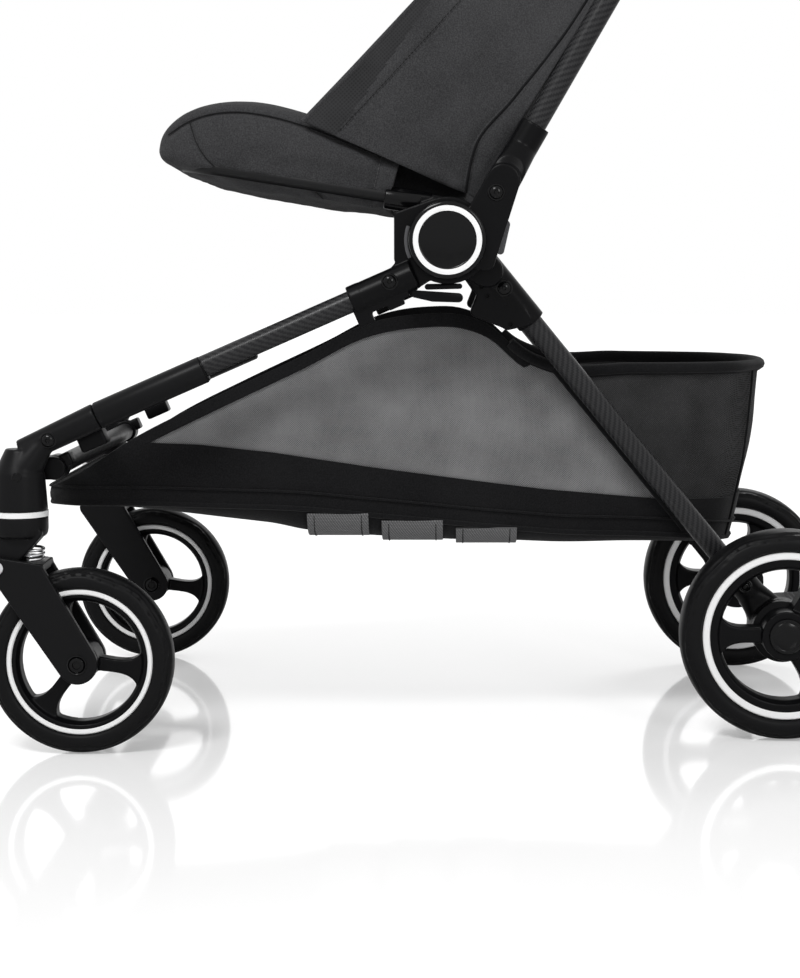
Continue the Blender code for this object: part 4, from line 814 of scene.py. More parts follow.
def white_rings(word, centre, reach, inner, outer):
    for x, face in ((reach, "outer"), (-reach, "inner")):
        ring = wheel_ring(centre, x, inner, outer, 0.0018)
        on_both_sides(ring, f"{word}_ring_{face}", word + "_wheel_left", WHITE)


def front_wheels():
    centre = tuple(FRONT_AXLE)
    tyre("front", centre, FRONT_TYRE_HALF, 0.0598, 0.0762, 9, 0.0011, 132)
    rim = rim_casting(centre, 0.0112, 0.0495, 0.0606, (-8, 112, 232), 0.0160, 0.0150, (0.0052, 0.0185))
    on_both_sides(rim, "front_wheel_rim", "front_wheel_left", SATIN, ["front_rim_left"], 50)
    white_rings("front", centre, 0.0113, 0.0556, 0.0597)


def rear_wheels():
    centre = tuple(REAR_AXLE)
    tyre("rear", centre, REAR_TYRE_HALF, 0.0709, 0.0890, 10, 0.0012, 144)
    rim = rim_casting(centre, 0.0142, 0.0553, 0.0718, (180, 60, -60), 0.0210, 0.0160, (0.0062, 0.0205))
    drum = disc(centre, 0.0262, centre[0] - 0.0178, centre[0] - 0.008, 64)
    slots = []
    for k in range(8):
        turn = math.radians(30 + 45 * k)
        spot = Vector(centre) + Vector((0, math.cos(turn), math.sin(turn))) * 0.019
        slots.append(disc(spot, 0.0044, centre[0] - 0.03, centre[0] - 0.0118, 20))
    drum = without(drum, slots)
    on_both_sides(rim, "rear_wheel_rim", "rear_wheel_left", SATIN, ["rear_rim_left"], 50)
    on_both_sides(softened(drum, 0.0006, 2), "rear_brake_drum", "rear_wheel_left", SATIN)
    white_rings("rear", centre, 0.0144, 0.0647, 0.0707)
    profile = [(0.0150, 0.0152), (0.0172, 0.0152), (0.0182, 0.0146), (0.0186, 0.0125), (0.0183, 0.0118),
               (0.0187, 0.0112), (0.0189, 0.006), (0.0189, 0.001)]
    cap = turned(profile, centre)
    on_both_sides(cap, "rear_hub_cap", "rear_wheel_left", GLOSS)


front_wheels()
rear_wheels()


# Casters


def caster_forks():
    x = LEG_X
    half = FRONT_TYRE_HALF + 0.003
    outer = half + 0.007
    crown_front = FORK_PIVOT.y + 0.0105
    crown_back = crown_front + 0.0265
    heel = Vector((x, crown_back - 0.005, CROWN_TOP - 0.005))
    pieces = []
    for sign in (1, -1):
        low, high = sorted((x + sign * half, x + sign * outer))
        pieces.append(plate([(FORK_PIVOT, 0.0085), (heel, 0.005), (FRONT_AXLE, 0.0165)], low, high))
    pieces.append(tilted_box((x, (crown_front + crown_back) / 2, CROWN_TOP - 0.0038),
                             (2 * outer - 0.002, crown_back - crown_front, 0.0072)))
    body = cast(pieces, 0.0009, 5, 0.35)
    on_both_sides(body, "caster_fork", "fork_left", SOFT_SATIN, ["fork_left"], 50)
    shape = ((-0.002, 0.0080), (0.0010, 0.0080), (0.0016, 0.0073), (0.0010, 0.0064), (0.0006, 0.0062),
             (0.0018, 0.0058), (0.0022, 0.0050), (0.0022, 0.0034), (0.0008, 0.0030))
    profile = [(outer + along, radius) for along, radius in shape]
    for sign, word in ((1, "outer"), (-1, "inner")):
        cap = turned(profile, FRONT_AXLE, (sign, 0, 0), 48)
        nodes = ["front_axle_left"] if sign > 0 else []
        on_both_sides(cap, "front_axle_cap_" + word, "fork_left", GLOSS, nodes)


def caster_springs():
    points = []
    turns, steps = 3.0, 28
    bottom, top = CROWN_TOP + 0.0012, CUP_BOTTOM - 0.0012
    middle = FORK_PIVOT.y + 0.0105 + 0.0133
    for k in range(int(turns * steps) + 1):
        turn = 2 * math.pi * k / steps
        z = bottom + (top - bottom) * k / (turns * steps)
        points.append(Vector((LEG_X + 0.0098 * math.cos(turn), middle + 0.0098 * math.sin(turn), z)))
    coil = pipe(points, 0.00115, 12)
    for piece in on_both_sides(coil, "caster_coil", "swivel_left", STEEL, ["spring_left"]):
        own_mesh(piece)


def swivel_cups():
    x = LEG_X
    centre = (x, CASTER_Y, 0)
    profile = [(CUP_BOTTOM + 0.0065, 0.0205), (CUP_BOTTOM + 0.0085, 0.0222),
               (CUP_BOTTOM + 0.0120, KNUCKLE_RADIUS), (RING_BOTTOM, KNUCKLE_RADIUS)]
    cup = turned(profile, centre, (0, 0, 1))
    ear = plate([(FORK_PIVOT, 0.0082), (Vector((x, FORK_PIVOT.y, CUP_BOTTOM + 0.006)), 0.0082),
                 (Vector((x, FORK_PIVOT.y + 0.006, CUP_BOTTOM + 0.006)), 0.0082)], x - 0.0125, x + 0.0125)
    wedge = plate([(FORK_PIVOT, 0.0088), (Vector((x, CASTER_Y - 0.0165, CUP_BOTTOM + 0.0100)), 0.0040),
                   (Vector((x, CASTER_Y + 0.0165, CUP_BOTTOM + 0.0100)), 0.0040)], x - 0.0150, x + 0.0150)
    whole = cast([cup, ear, wedge], 0.0009, 4, 0.35)
    on_both_sides(whole, "swivel_housing", "swivel_left", SOFT_SATIN, ["swivel_cup_left"],
                  50)
    ring = turned([(RING_BOTTOM, 0.0222), (RING_BOTTOM, 0.0232), (RING_TOP, 0.0232), (RING_TOP, 0.0222)],
                  centre, (0, 0, 1), 72)
    on_both_sides(ring, "swivel_ring", "swivel_left", WHITE)
    pin = turned([(0.0, 0.0052), (0.0012, 0.0052), (0.0018, 0.0046), (0.0019, 0.0026), (0.0012, 0.0022)],
                 FORK_PIVOT + Vector((FRONT_TYRE_HALF + 0.0101, 0, 0)), (1, 0, 0), 40)
    on_both_sides(pin, "fork_pivot_head", "swivel_left", STEEL)


def knuckles():
    x = LEG_X
    post = rod((x, CASTER_Y, KNUCKLE_BOTTOM), (x, CASTER_Y, 0.2300), 0.0228, 0.0205)
    shoulder = rod((x, CASTER_Y, 0.2300), (x, CASTER_Y + 0.0010, 0.2500), 0.0205, 0.0120)
    arm = rod(FRONT_ARM.at(x, 0.3195, SLEEVE_DROP), FRONT_ARM.at(x, 0.3880, 0.0040), SLEEVE_RADIUS, 0.0102)
    throat = hull([rod(FRONT_ARM.at(x, 0.366, 0.0040), FRONT_ARM.at(x, 0.370, 0.0040), 0.0100),
                   rod((x, CASTER_Y, 0.2320), (x, CASTER_Y, 0.2360), 0.0190, 0.0175)])
    body = cast([post, shoulder, arm, throat], 0.0010, 8, 0.35)
    on_both_sides(body, "knuckle_casting", "root", SOFT_SATIN, ["knuckle_left"], 50)
    sleeve = rod(FRONT_ARM.at(x, 0.2240, SLEEVE_DROP), FRONT_ARM.at(x, 0.3188, SLEEVE_DROP), SLEEVE_RADIUS)
    on_both_sides(softened(sleeve, 0.0009, 3), "leg_sleeve", "root", SOFT_SATIN)
    lip = rod(FRONT_ARM.at(x, 0.2228, SLEEVE_DROP), FRONT_ARM.at(x, 0.2246, SLEEVE_DROP),
              SLEEVE_RADIUS - 0.0008)
    on_both_sides(softened(lip, 0.0005, 2), "leg_sleeve_lip", "root", SATIN)
    screw(from_hub(x + 0.0100, -0.3246, -0.1623), 0.0054, "root", "knuckle_screw")
    rivet = turned([(-0.001, 0.0040), (0.0, 0.0040), (0.0004, 0.0036), (0.0002, 0.0031), (0.0005, 0.0028),
                    (0.0005, 0.001)],
                   (x + 0.0206, CASTER_Y + 0.0015, 0.2285), (1, 0, 0), 40)
    on_both_sides(rivet, "knuckle_rivet", "root", GLOSS)


def straight_tube(name, body, start, end, node):
    """A carbon tube between two castings, on both sides."""
    on_both_sides(pipe([start, end], TUBE_RADIUS, 40), name, body, CARBON, [node + "_left"])


def frame_tubes():
    straight_tube("front_carbon_leg", "root", FRONT_ARM.at(LEG_X, 0.0600), FRONT_ARM.at(LEG_X, 0.2590),
                  "front_leg_tube")
    straight_tube("upper_carbon_tube", "handle_frame", UPPER_ARM.at(UPPER_TUBE_X, 0.080),
                  UPPER_ARM.at(UPPER_TUBE_X, 0.432), "upper_tube")
    straight_tube("rear_carbon_leg", "rear_frame", rear_leg_point(0.0600),
                  rear_leg_point(REAR_AXLE_REACH - 0.033), "rear_leg_tube")


caster_forks()
caster_springs()
swivel_cups()
knuckles()
frame_tubes()


# Hub castings


def hub_housings():
    x = LEG_X
    low, high = HOUSING_IN, HOUSING_OUT
    shield = plate([(HUB, 0.0355), (from_hub(x, -0.0395, 0.0195), 0.004),
                    (from_hub(x, -0.0395, -0.0150), 0.004)],
                   low, high, 40)
    web = plate([(HUB, 0.0200), (FRONT_ARM.at(x, 0.046), 0.0132)], low + 0.0003, high - 0.0003)
    socket = rod(FRONT_ARM.at(x, 0.036), FRONT_ARM.at(x, 0.0905), SOCKET_RADIUS - 0.0003)
    collar = rod(FRONT_ARM.at(x, 0.0820), FRONT_ARM.at(x, 0.0918), SOCKET_RADIUS)
    bridge = tilted_box((0.187, HUB.y - 0.012, HUB.z + 0.0290), (0.040, 0.020, 0.0130))
    pieces = [shield, web, socket, collar, bridge]
    clip = [(0.0520, 0.0660, 0.0070, 0.0195), (0.0800, 0.0935, 0.0070, 0.0225),
            (0.0460, 0.0935, 0.0060, 0.0150)]
    for start, end, top, bottom in clip:
        middle = FRONT_ARM.at(x, (start + end) / 2, (top + bottom) / 2)
        pieces.append(tilted_box(middle, (0.013, end - start, bottom - top), FRONT_TILT))
    whole = cast(pieces, 0.0009, 4, 0.35)
    on_both_sides(whole, "hub_casting", "root", SATIN, ["hub_housing_left"], 50)
    prongs = [plate([(FRONT_ARM.at(x, 0.0300, 0.0140), 0.0024), (from_hub(x, 0.0098, -0.0372), 0.0022)],
                    x - 0.005, x + 0.003),
              plate([(FRONT_ARM.at(x, 0.0420, 0.0150), 0.0030), (from_hub(x, -0.0120, -0.0462), 0.0036),
                     (from_hub(x, 0.0088, -0.0466), 0.0038)], x - 0.005, x + 0.003)]
    finished(softened(joined(prongs), 0.0008, 2), "lock_prongs", "root", SATIN, angle=50)
    # The grey lip along the housing's rim is a painted highlight: a raised arc, lighter grey where the rim
    # catches the light.
    arc = []
    for radius, turns in ((0.0352, range(160, 207, 3)), (0.0322, range(205, 159, -3))):
        for turn in turns:
            a = math.radians(turn)
            arc.append((radius * math.cos(a), radius * math.sin(a)))
    lip = sheet_block(arc, HOUSING_OUT - 0.0006, HOUSING_OUT + 0.0022)
    on_both_sides(softened(lip, 0.0006, 2), "hub_lip", "root", GREY)
    button = plate([(from_hub(x, 0.0474, 0.0128), 0.0034), (from_hub(x, 0.0430, -0.0085), 0.0030)], 0.2070,
                   0.2175)
    on_both_sides(softened(button, 0.0009, 3), "fold_latch", "root", GREY)
    screw(FRONT_ARM.at(x + SOCKET_RADIUS, 0.0563, -0.0022), 0.0054, "root", "front_socket_screw")


def hub_caps():
    centre = (LEG_X, HUB.y, HUB.z)
    shape = ((0, 0.0309), (0.0006, 0.0315), (0.0040, 0.0315), (0.0056, 0.0309), (0.0064, 0.0297),
             (0.0066, 0.0283), (0.0066, 0.0229), (0.0062, 0.0222), (0.0063, 0.0212), (0.0068, 0.0170),
             (0.0071, 0.0110), (0.0072, 0.0040))
    cap = turned([(CAP_IN + along - LEG_X, radius) for along, radius in shape], centre, sides=96)
    on_both_sides(cap, "round_cap", "handle_frame", GLOSS, ["hub_cap_left"], 30)
    shape = ((0.0060, 0.0233), (0.0060, 0.0279), (0.0071, 0.0277), (0.0074, 0.0256), (0.0071, 0.0235))
    ring = spun([(CAP_IN + along - LEG_X, radius) for along, radius in shape], centre, 128)
    on_both_sides(ring, "cap_ring", "handle_frame", WHITE)


def upper_sockets():
    x = UPPER_TUBE_X
    eye = disc(HUB, 0.0310, UPPER_EYE_IN, UPPER_EYE_OUT, 64)
    low, high = UPPER_EYE_IN + 0.0002, UPPER_EYE_OUT - 0.0002
    web = plate([(UPPER_ARM.at(x, 0.000), 0.0135), (UPPER_ARM.at(x, 0.064, 0.0), 0.0135),
                 (from_hub(x, 0.0422, 0.0300), 0.0075), (from_hub(x, 0.0318, -0.0190), 0.0058)],
                low, high, 40)
    neck = hull([disc(UPPER_ARM.at(x, 0.056), 0.0138, x - 0.007, UPPER_EYE_OUT - 0.0008),
                 disc(UPPER_ARM.at(x, 0.072), 0.0134, x - 0.007, UPPER_EYE_OUT - 0.0040),
                 rod(UPPER_ARM.at(x, 0.096), UPPER_ARM.at(x, 0.098), 0.0122)])
    socket = rod(UPPER_ARM.at(x, 0.058), UPPER_ARM.at(x, 0.1168), SOCKET_RADIUS)
    whole = cast([eye, web, neck, socket], 0.0009, 4, 0.35)
    on_both_sides(whole, "upper_casting", "handle_frame", SATIN, ["upper_socket_left"], 50)
    screw(UPPER_ARM.at(UPPER_EYE_OUT, 0.0528, 0.0002), 0.0056, "handle_frame", "upper_socket_screw")


def rear_sockets():
    eye = disc(HUB, 0.0240, REAR_EYE_IN, REAR_EYE_OUT)
    socket = rod(rear_leg_point(0.020), rear_leg_point(0.0965), SOCKET_RADIUS)
    low, high = 0.1740, 0.1860
    arm = plate([(HUB, 0.0200), (REAR_ARM.at(0.18, 0.040, -0.002), 0.0130)], REAR_EYE_IN + 0.0002,
                REAR_EYE_OUT - 0.004)
    main = plate([(REAR_ARM.at(0, 0.032, -0.012), 0.0080), (REAR_ARM.at(0, 0.052, -0.0140), 0.0075),
                  (REAR_ARM.at(0, 0.0905, -0.0030), 0.0060), (REAR_ARM.at(0, 0.0850, -0.0165), 0.0050)],
                 low, high)
    wing = plate([(REAR_ARM.at(0, 0.0600, -0.0300), 0.0048), (REAR_ARM.at(0, 0.0530, -0.0150), 0.0060),
                  (REAR_ARM.at(0, 0.0840, -0.0165), 0.0050)], low, high)
    holes = [disc(REAR_ARM.at(0, reach, aside), 0.0021, high - 0.004, high + 0.01, 20)
             for reach, aside in ((0.0470, -0.0135), (0.0560, -0.0150), (0.0865, -0.0150))]
    whole = cast([eye, socket, arm, main, wing], 0.0009, 4, 0.35)
    whole = without(whole, holes)
    on_both_sides(whole, "rear_casting", "rear_frame", SATIN, ["rear_socket_left"], 50)
    spot = rear_leg_point(0.0598)
    screw(spot + Vector((SOCKET_RADIUS + 0.0002, 0, 0)), 0.0055, "rear_frame", "rear_socket_screw")


def rear_brackets():
    boss_out = REAR_AXLE.x - REAR_TYRE_HALF - 0.002
    boss = disc(REAR_AXLE, 0.0260, boss_out - 0.016, boss_out, 64)
    foot = disc(REAR_AXLE, 0.0135, 0.1125, boss_out - 0.004)
    top = REAR_AXLE_REACH - 0.060
    socket = rod(rear_leg_point(top), rear_leg_point(REAR_AXLE_REACH), SOCKET_RADIUS)
    neck = hull([rod(rear_leg_point(top + 0.020), rear_leg_point(top + 0.022), 0.0120),
                 disc(REAR_AXLE, 0.0200, boss_out - 0.013, boss_out - 0.003)])
    whole = cast([boss, foot, socket, neck], 0.0010, 4, 0.35)
    stub = disc(REAR_AXLE, 0.0049, boss_out - 0.002, REAR_AXLE.x + REAR_TYRE_HALF - 0.002, 32)
    on_both_sides(whole, "wheel_bracket", "rear_frame", SOFT_SATIN, ["rear_bracket_left"],
                  50)
    on_both_sides(softened(stub, 0.0006, 2), "wheel_stub", "rear_frame", STEEL)
    spot = rear_leg_point(top + 0.012)
    screw(spot + Vector((SOCKET_RADIUS, 0, 0)), 0.0045, "rear_frame", "bracket_screw")
    lip = rod(rear_leg_point(top - 0.0002), rear_leg_point(top + 0.0035), SOCKET_RADIUS + 0.0006)
    on_both_sides(softened(lip, 0.0006, 2), "bracket_lip", "rear_frame", SATIN)


def rear_axle():
    bar = rod((-0.1122, REAR_AXLE.y, REAR_AXLE.z), (0.1122, REAR_AXLE.y, REAR_AXLE.z), 0.0080)
    finished(bar, "axle_crossbar", "rear_frame", POWDER, ["rear_axle_bar"])
    ring = disc(REAR_AXLE, 0.0128, -0.0320, 0.0320)
    paddle = plate([(REAR_AXLE + Vector((0, 0.0100, 0.0)), 0.0040),
                    (REAR_AXLE + Vector((0, 0.0485, 0.0025)), 0.0033)],
                   -0.0310, 0.0310)
    ribs = [rod((-0.026, REAR_AXLE.y + y, REAR_AXLE.z + 0.0052),
                (0.026, REAR_AXLE.y + y, REAR_AXLE.z + 0.0052), 0.0011, sides=12)
            for y in (0.030, 0.0345, 0.039, 0.0435)]
    pedal = cast([ring, paddle] + ribs, 0.0009, 3, 0.4)
    finished(pedal, "brake_foot_pedal", "brake_pedal", SOFT_SATIN, ["brake_pedal"], 50)


def sprung_pins():
    for side in ("left", "right"):
        node = "brake_pin_" + side
        low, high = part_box(node)
        middle = (low + high) / 2
        pin = rod((low.x, middle.y, middle.z), (high.x, middle.y, middle.z), 0.0030, sides=24)
        finished(softened(pin, 0.0005, 2), "brake_rod_" + side, node, STEEL, [node])


def front_bar():
    low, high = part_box("front_crossbar")
    middle = (low + high) / 2
    bar = rod((low.x, middle.y, middle.z), (high.x, middle.y, middle.z), 0.0080)
    finished(bar, "caster_crossbar", "root", POWDER, ["front_crossbar"])
    bracket = cast([rod((0.180, middle.y, middle.z), (0.199, middle.y, middle.z), 0.0105),
                    plate([(Vector((0, middle.y, middle.z)), 0.0095),
                           (Vector((0, CASTER_Y + 0.006, middle.z)), 0.0095)],
                          0.1835, 0.2050)], 0.0009, 4, 0.4)
    on_both_sides(bracket, "crossbar_bracket", "root", SATIN)
    for y, z, size, word in ((-0.2935, 0.2560, (0.020, 0.0230, 0.0150), "rear"),
                             (-0.3190, 0.2380, (0.018, 0.0180, 0.0115), "front")):
        clip = softened(tilted_box((0.1905, HUB.y + y, z), size, FRONT_TILT), 0.0022, 4)
        on_both_sides(clip, "basket_clip_" + word, "root", SATIN)


hub_housings()
hub_caps()
upper_sockets()
rear_sockets()
rear_brackets()
rear_axle()
sprung_pins()
front_bar()


# Seat tube, handle and canopy bows

SEAT_TUBE_X = 0.175
SLOPE = math.tan(math.radians(9))
KNEE = UPPER_ARM.at(UPPER_TUBE_X, 0.560)
KNEE_DIRECTION = Vector((0, math.cos(math.radians(45)), math.sin(math.radians(45))))
HANDLE_END = KNEE + KNEE_DIRECTION * 0.160
CANOPY_PIVOT = UPPER_ARM.at(0, 0.440)


def seat_tube_path():
    front = from_hub(SEAT_TUBE_X, -0.222, 0.0297 + 0.222 * SLOPE)
    back = from_hub(SEAT_TUBE_X, -0.006, 0.0297 + 0.006 * SLOPE)
    mirror = Vector((-1, 1, 1))
    return bent_path([back, front, front * mirror, back * mirror], 0.040, 10)


def seat_tube():
    tube = pipe(seat_tube_path(), 0.0065, 24)
    finished(tube, "seat_hoop", "root", POWDER, ["seat_frame_tube"])
    sleeve = rod(from_hub(SEAT_TUBE_X, -0.052, 0.0280 + 0.052 * SLOPE),
                 from_hub(SEAT_TUBE_X, -0.014, 0.0280 + 0.014 * SLOPE), 0.0096)
    on_both_sides(softened(sleeve, 0.0012, 3), "seat_tube_sleeve", "root", GLOSS)


def handle():
    start = UPPER_ARM.at(UPPER_TUBE_X, 0.448)
    mirror = Vector((-1, 1, 1))
    corners = [start, KNEE, HANDLE_END, HANDLE_END * mirror, KNEE * mirror, start * mirror]
    bar = pipe(bent_path(corners, 0.050, 14), TUBE_RADIUS, 40)
    finished(bar, "handle_tube", "handle_frame", CARBON, ["handle_bar"])
    lead = HANDLE_END - KNEE_DIRECTION * 0.070
    end = Vector((0.0326, HANDLE_END.y, HANDLE_END.z))
    path = bent_path([lead, HANDLE_END, end], 0.050, 14)
    grip = pipe(path, 0.0132, 32)
    softened(grip, 0.0016, 3, 60)
    on_both_sides(grip, "foam_grip", "handle_frame", FOAM, ["handle_grip_left"], 50)
    direction = (path[-1] - path[-2]).normalized()
    for spot, heading, word in ((path[0], KNEE_DIRECTION, "low"), (path[-1], direction, "middle")):
        band = rod(spot, spot + heading * 0.006 * (1 if word == "low" else -1), 0.0134)
        on_both_sides(softened(band, 0.0006, 2), "grip_band_" + word, "handle_frame", GLOSS)


def fold_grip():
    y, z = HANDLE_END.y, HANDLE_END.z
    half = 0.0186
    shell = hull([rod((-0.0315, y + dy, z + dz), (0.0315, y + dy, z + dz), 0.0075, sides=32)
                  for dy in (-0.011, 0.011) for dz in (-0.011, 0.011)])
    pocket = tilted_box((0, y, z + half), (0.037, 0.015, 0.012))
    shell = without(softened(shell, 0.0012, 3), [pocket])
    finished(shell, "fold_grip_shell", "handle_frame", SATIN, ["fold_housing"])
    low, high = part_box("fold_button")
    middle = (low + high) / 2
    key = tilted_box(middle, tuple(high - low))
    finished(softened(key, 0.0014, 4), "fold_key", "fold_button", GREY, ["fold_button"])


def canopy_mounts():
    inner, outer = UPPER_ARM.at(UPPER_TUBE_X, 0.4165), UPPER_ARM.at(UPPER_TUBE_X, 0.4635)
    collar = softened(rod(inner, outer, 0.0133), 0.0012, 3)
    on_both_sides(collar, "canopy_collar", "handle_frame", SATIN, ["canopy_mount_left"])
    eye = rod(CANOPY_PIVOT + Vector((0.1835, 0, 0)), CANOPY_PIVOT + Vector((0.1990, 0, 0)), 0.0050, sides=32)
    on_both_sides(eye, "canopy_pin", "handle_frame", DARK_STEEL)
    profile = [(0.0, 0.0112), (0.0016, 0.0112), (0.0028, 0.0100), (0.0034, 0.0078), (0.0036, 0.0030)]
    cap = turned(profile, CANOPY_PIVOT + Vector((UPPER_TUBE_X + 0.0126, 0, 0)))
    on_both_sides(cap, "canopy_pivot_cap", "handle_frame", GLOSS)


def canopy_bows():
    for node, body in (("canopy_bow_rear", "canopy_rear"), ("canopy_bow_front", "canopy_front")):
        source = frame["nodes"][node]
        copy = source.copy()
        copy.data = source.data.copy()
        bpy.context.scene.collection.objects.link(copy)
        copy.parent = None
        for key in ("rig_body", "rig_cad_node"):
            del copy[key]
        editing(copy)
        bpy.ops.mesh.remove_doubles(threshold=0.00002)
        bpy.ops.object.mode_set(mode="OBJECT")
        modified(copy, "REMESH", mode="VOXEL", voxel_size=0.0009)
        modified(copy, "SMOOTH", factor=0.5, iterations=8)
        modified(copy, "DECIMATE", ratio=0.25)
        finished(copy, node.replace("canopy_bow", "canopy_hoop"), body, SATIN, [node], 50)


seat_tube()
handle()
fold_grip()
canopy_mounts()
canopy_bows()


# Soft goods

SEAT_SIDE = 0.1860
# The seat's side view from the hub axis: (back, top of its crown, side seam, underside)
SEAT_STATIONS = (
    (-0.2440, 0.0790, 0.0780, 0.0690),
    (-0.2420, 0.0860, 0.0845, 0.0660),
    (-0.2380, 0.0925, 0.0905, 0.0640),
    (-0.2300, 0.1000, 0.0975, 0.0620),
    (-0.2180, 0.1070, 0.1045, 0.0590),
    (-0.2030, 0.1125, 0.1095, 0.0555),
    (-0.1800, 0.1160, 0.1125, 0.0495),
    (-0.1550, 0.1150, 0.1105, 0.0455),
    (-0.1285, 0.1100, 0.1040, 0.0412),
    (-0.1000, 0.1015, 0.0930, 0.0372),
    (-0.0700, 0.0900, 0.0800, 0.0335),
    (-0.0480, 0.0800, 0.0710, 0.0300),
    (-0.0200, 0.0700, 0.0610, 0.0270),
)
SEAT_SEAM = ((-0.2320, 0.0880), (-0.2134, 0.0985), (-0.1953, 0.1040), (-0.1753, 0.1059), (-0.1500, 0.1030),
             (-0.1231, 0.0960), (-0.0800, 0.0795), (-0.0445, 0.0655))
SEAT_LOW_SEAM = ((-0.2134, 0.0985), (-0.2060, 0.0780), (-0.1960, 0.0640), (-0.1438, 0.0504),
                 (-0.1123, 0.0421), (-0.0990, 0.0297))
SEAT_HEM = ((-0.0545, 0.0700), (-0.0600, 0.0470), (-0.0645, 0.0290))
# The straight cut of the seat cover at its rear: a point on it, and the way out of it
SEAT_END = (-0.0403, 0.0645)
SEAT_END_NORMAL = (0, 0.963, -0.270)
# Points of a line that lie nearer than this count as one
CLOSEST = 0.00001


def smooth_rows(rows, step):
    """Rows of numbers joined by a smooth curve and read again at an even step of the first number."""
    table = np.array(rows, float)
    places = np.arange(table[0, 0], table[-1, 0] + step / 2, step)
    slopes = np.gradient(table[:, 1:], table[:, 0], axis=0)
    found = []
    for place in places:
        k = min(max(int(np.searchsorted(table[:, 0], place)) - 1, 0), len(table) - 2)
        width = table[k + 1, 0] - table[k, 0]
        t = min(max((place - table[k, 0]) / width, 0.0), 1.0)
        h = ((2 * t**3 - 3 * t**2 + 1), (t**3 - 2 * t**2 + t) * width,
             (3 * t**2 - 2 * t**3), (t**3 - t**2) * width)
        values = h[0] * table[k, 1:] + h[1] * slopes[k] + h[2] * table[k + 1, 1:] + h[3] * slopes[k + 1]
        found.append((place, *values))
    return found


def smooth_line(points, step=0.002):
    """A smooth curve through points, as closely spaced points."""
    apart = [p for k, p in enumerate(points) if k == 0 or (p - points[k - 1]).length > CLOSEST]
    spots = np.array([tuple(p) for p in apart], float)
    reach = np.concatenate(([0.0], np.cumsum(np.linalg.norm(np.diff(spots, axis=0), axis=1))))
    rows = smooth_rows([(r, *p) for r, p in zip(reach, spots)], step)
    return [Vector(row[1:]) for row in rows]


def loft(rings, closed=True, capped=True):
    """A skin through rings or rows of points, each with as many points."""
    made = bmesh.new()
    rows = [[made.verts.new(point) for point in ring] for ring in rings]
    count = len(rows[0])
    for first, second in zip(rows, rows[1:]):
        for k in range(count if closed else count - 1):
            following = (k + 1) % count
            made.faces.new((first[k], first[following], second[following], second[k]))
    if capped:
        made.faces.new(rows[0])
        made.faces.new(rows[-1])
    bmesh.ops.recalc_face_normals(made, faces=made.faces)
    mesh = bpy.data.meshes.new("loft")
    made.to_mesh(mesh)
    made.free()
    piece = bpy.data.objects.new("loft", mesh)
    bpy.context.scene.collection.objects.link(piece)
    return only(piece)


def spots_of(piece, kind="co"):
    values = np.empty(len(piece.data.vertices) * 3)
    if kind == "co":
        piece.data.vertices.foreach_get("co", values)
    else:
        piece.data.vertex_normals.foreach_get("vector", values)
    return values.reshape(-1, 3)


def move_to(piece, spots):
    piece.data.vertices.foreach_set("co", spots.ravel())
    piece.data.update()
    return piece


def puffed(piece, grain, limit, pressure):
    """Cover a soft shape evenly, fill it with air, and let no point move past the limit."""
    modified(piece, "REMESH", mode="VOXEL", voxel_size=grain)
    modified(piece, "SMOOTH", factor=0.5, iterations=4)
    before = spots_of(piece).copy()
    cloth = only(piece).modifiers.new("cloth", "CLOTH")
    cloth.settings.quality = 6
    cloth.settings.mass = 0.3
    cloth.settings.bending_stiffness = 2.0
    cloth.settings.use_pressure = True
    cloth.settings.uniform_pressure_force = pressure
    cloth.settings.effector_weights.gravity = 0
    cloth.point_cache.frame_start = 1
    cloth.point_cache.frame_end = 20
    for number in range(1, 21):
        bpy.context.scene.frame_set(number)
    bpy.ops.object.modifier_apply(modifier="cloth")
    bpy.context.scene.frame_set(1)
    move = spots_of(piece) - before
    far = np.linalg.norm(move, axis=1, keepdims=True)
    move *= np.minimum(1.0, limit / np.maximum(far, 1e-9))
    move_to(piece, before + move)
    modified(piece, "SUBSURF", levels=1, render_levels=1)
    return piece


def creased(piece, lines, width, depth):
    """Press sewn lines into a soft piece."""
    points = [point for line in lines for point in line]
    tree = KDTree(len(points))
    for index, point in enumerate(points):
        tree.insert(point, index)
    tree.balance()
    spots = spots_of(piece).copy()
    normals = spots_of(piece, "normal")
    for index, spot in enumerate(spots):
        gap = tree.find(spot)[2]
        if gap < 3 * width:
            spots[index] = spot - normals[index] * depth * math.exp(-((gap / width) ** 2))
    return move_to(piece, spots)


def wrinkled(piece, height, scale, inside=None, stretch=(1, 1, 1)):
    """Push a soft piece out and in along its normals, in gentle uneven folds."""
    spots = spots_of(piece).copy()
    normals = spots_of(piece, "normal")
    for index, spot in enumerate(spots):
        share = 1.0 if inside is None else inside(spot)
        if share <= 0:
            continue
        place = Vector([c * s * scale for c, s in zip(spot, stretch)])
        fold = noise.fractal(place, 0.9, 2.1, 3) * height * share
        spots[index] = spot + normals[index] * fold
    return move_to(piece, spots)


def dropped_on(piece, points, direction, lift=0.0):
    """Carry points along a direction until they lie on a piece, then lift them off it."""
    tree = BVHTree.FromObject(piece, bpy.context.evaluated_depsgraph_get())
    direction = Vector(direction).normalized()
    found = []
    for point in points:
        hit, normal, _, _ = tree.ray_cast(Vector(point) - direction * 0.06, direction, 0.12)
        if hit is not None:
            found.append(hit + normal * lift)
    return found


def side_line(piece, line, step=0.002):
    """A smooth line of (back, up) points, carried onto the left side of a piece."""
    across = smooth_line([from_hub(0.25, y, z) for y, z in line], step)
    return dropped_on(piece, [Vector((0.215, p.y, p.z)) for p in across], (-1, 0, 0))


def flattens(piece):
    """Give a soft piece its own mesh."""
    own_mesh(piece)
    return piece


def cord_line(points, radius, name, body, material, sides=8):
    """Piping or a thick thread along a line."""
    return finished(pipe(points, radius, sides), name, body, material)


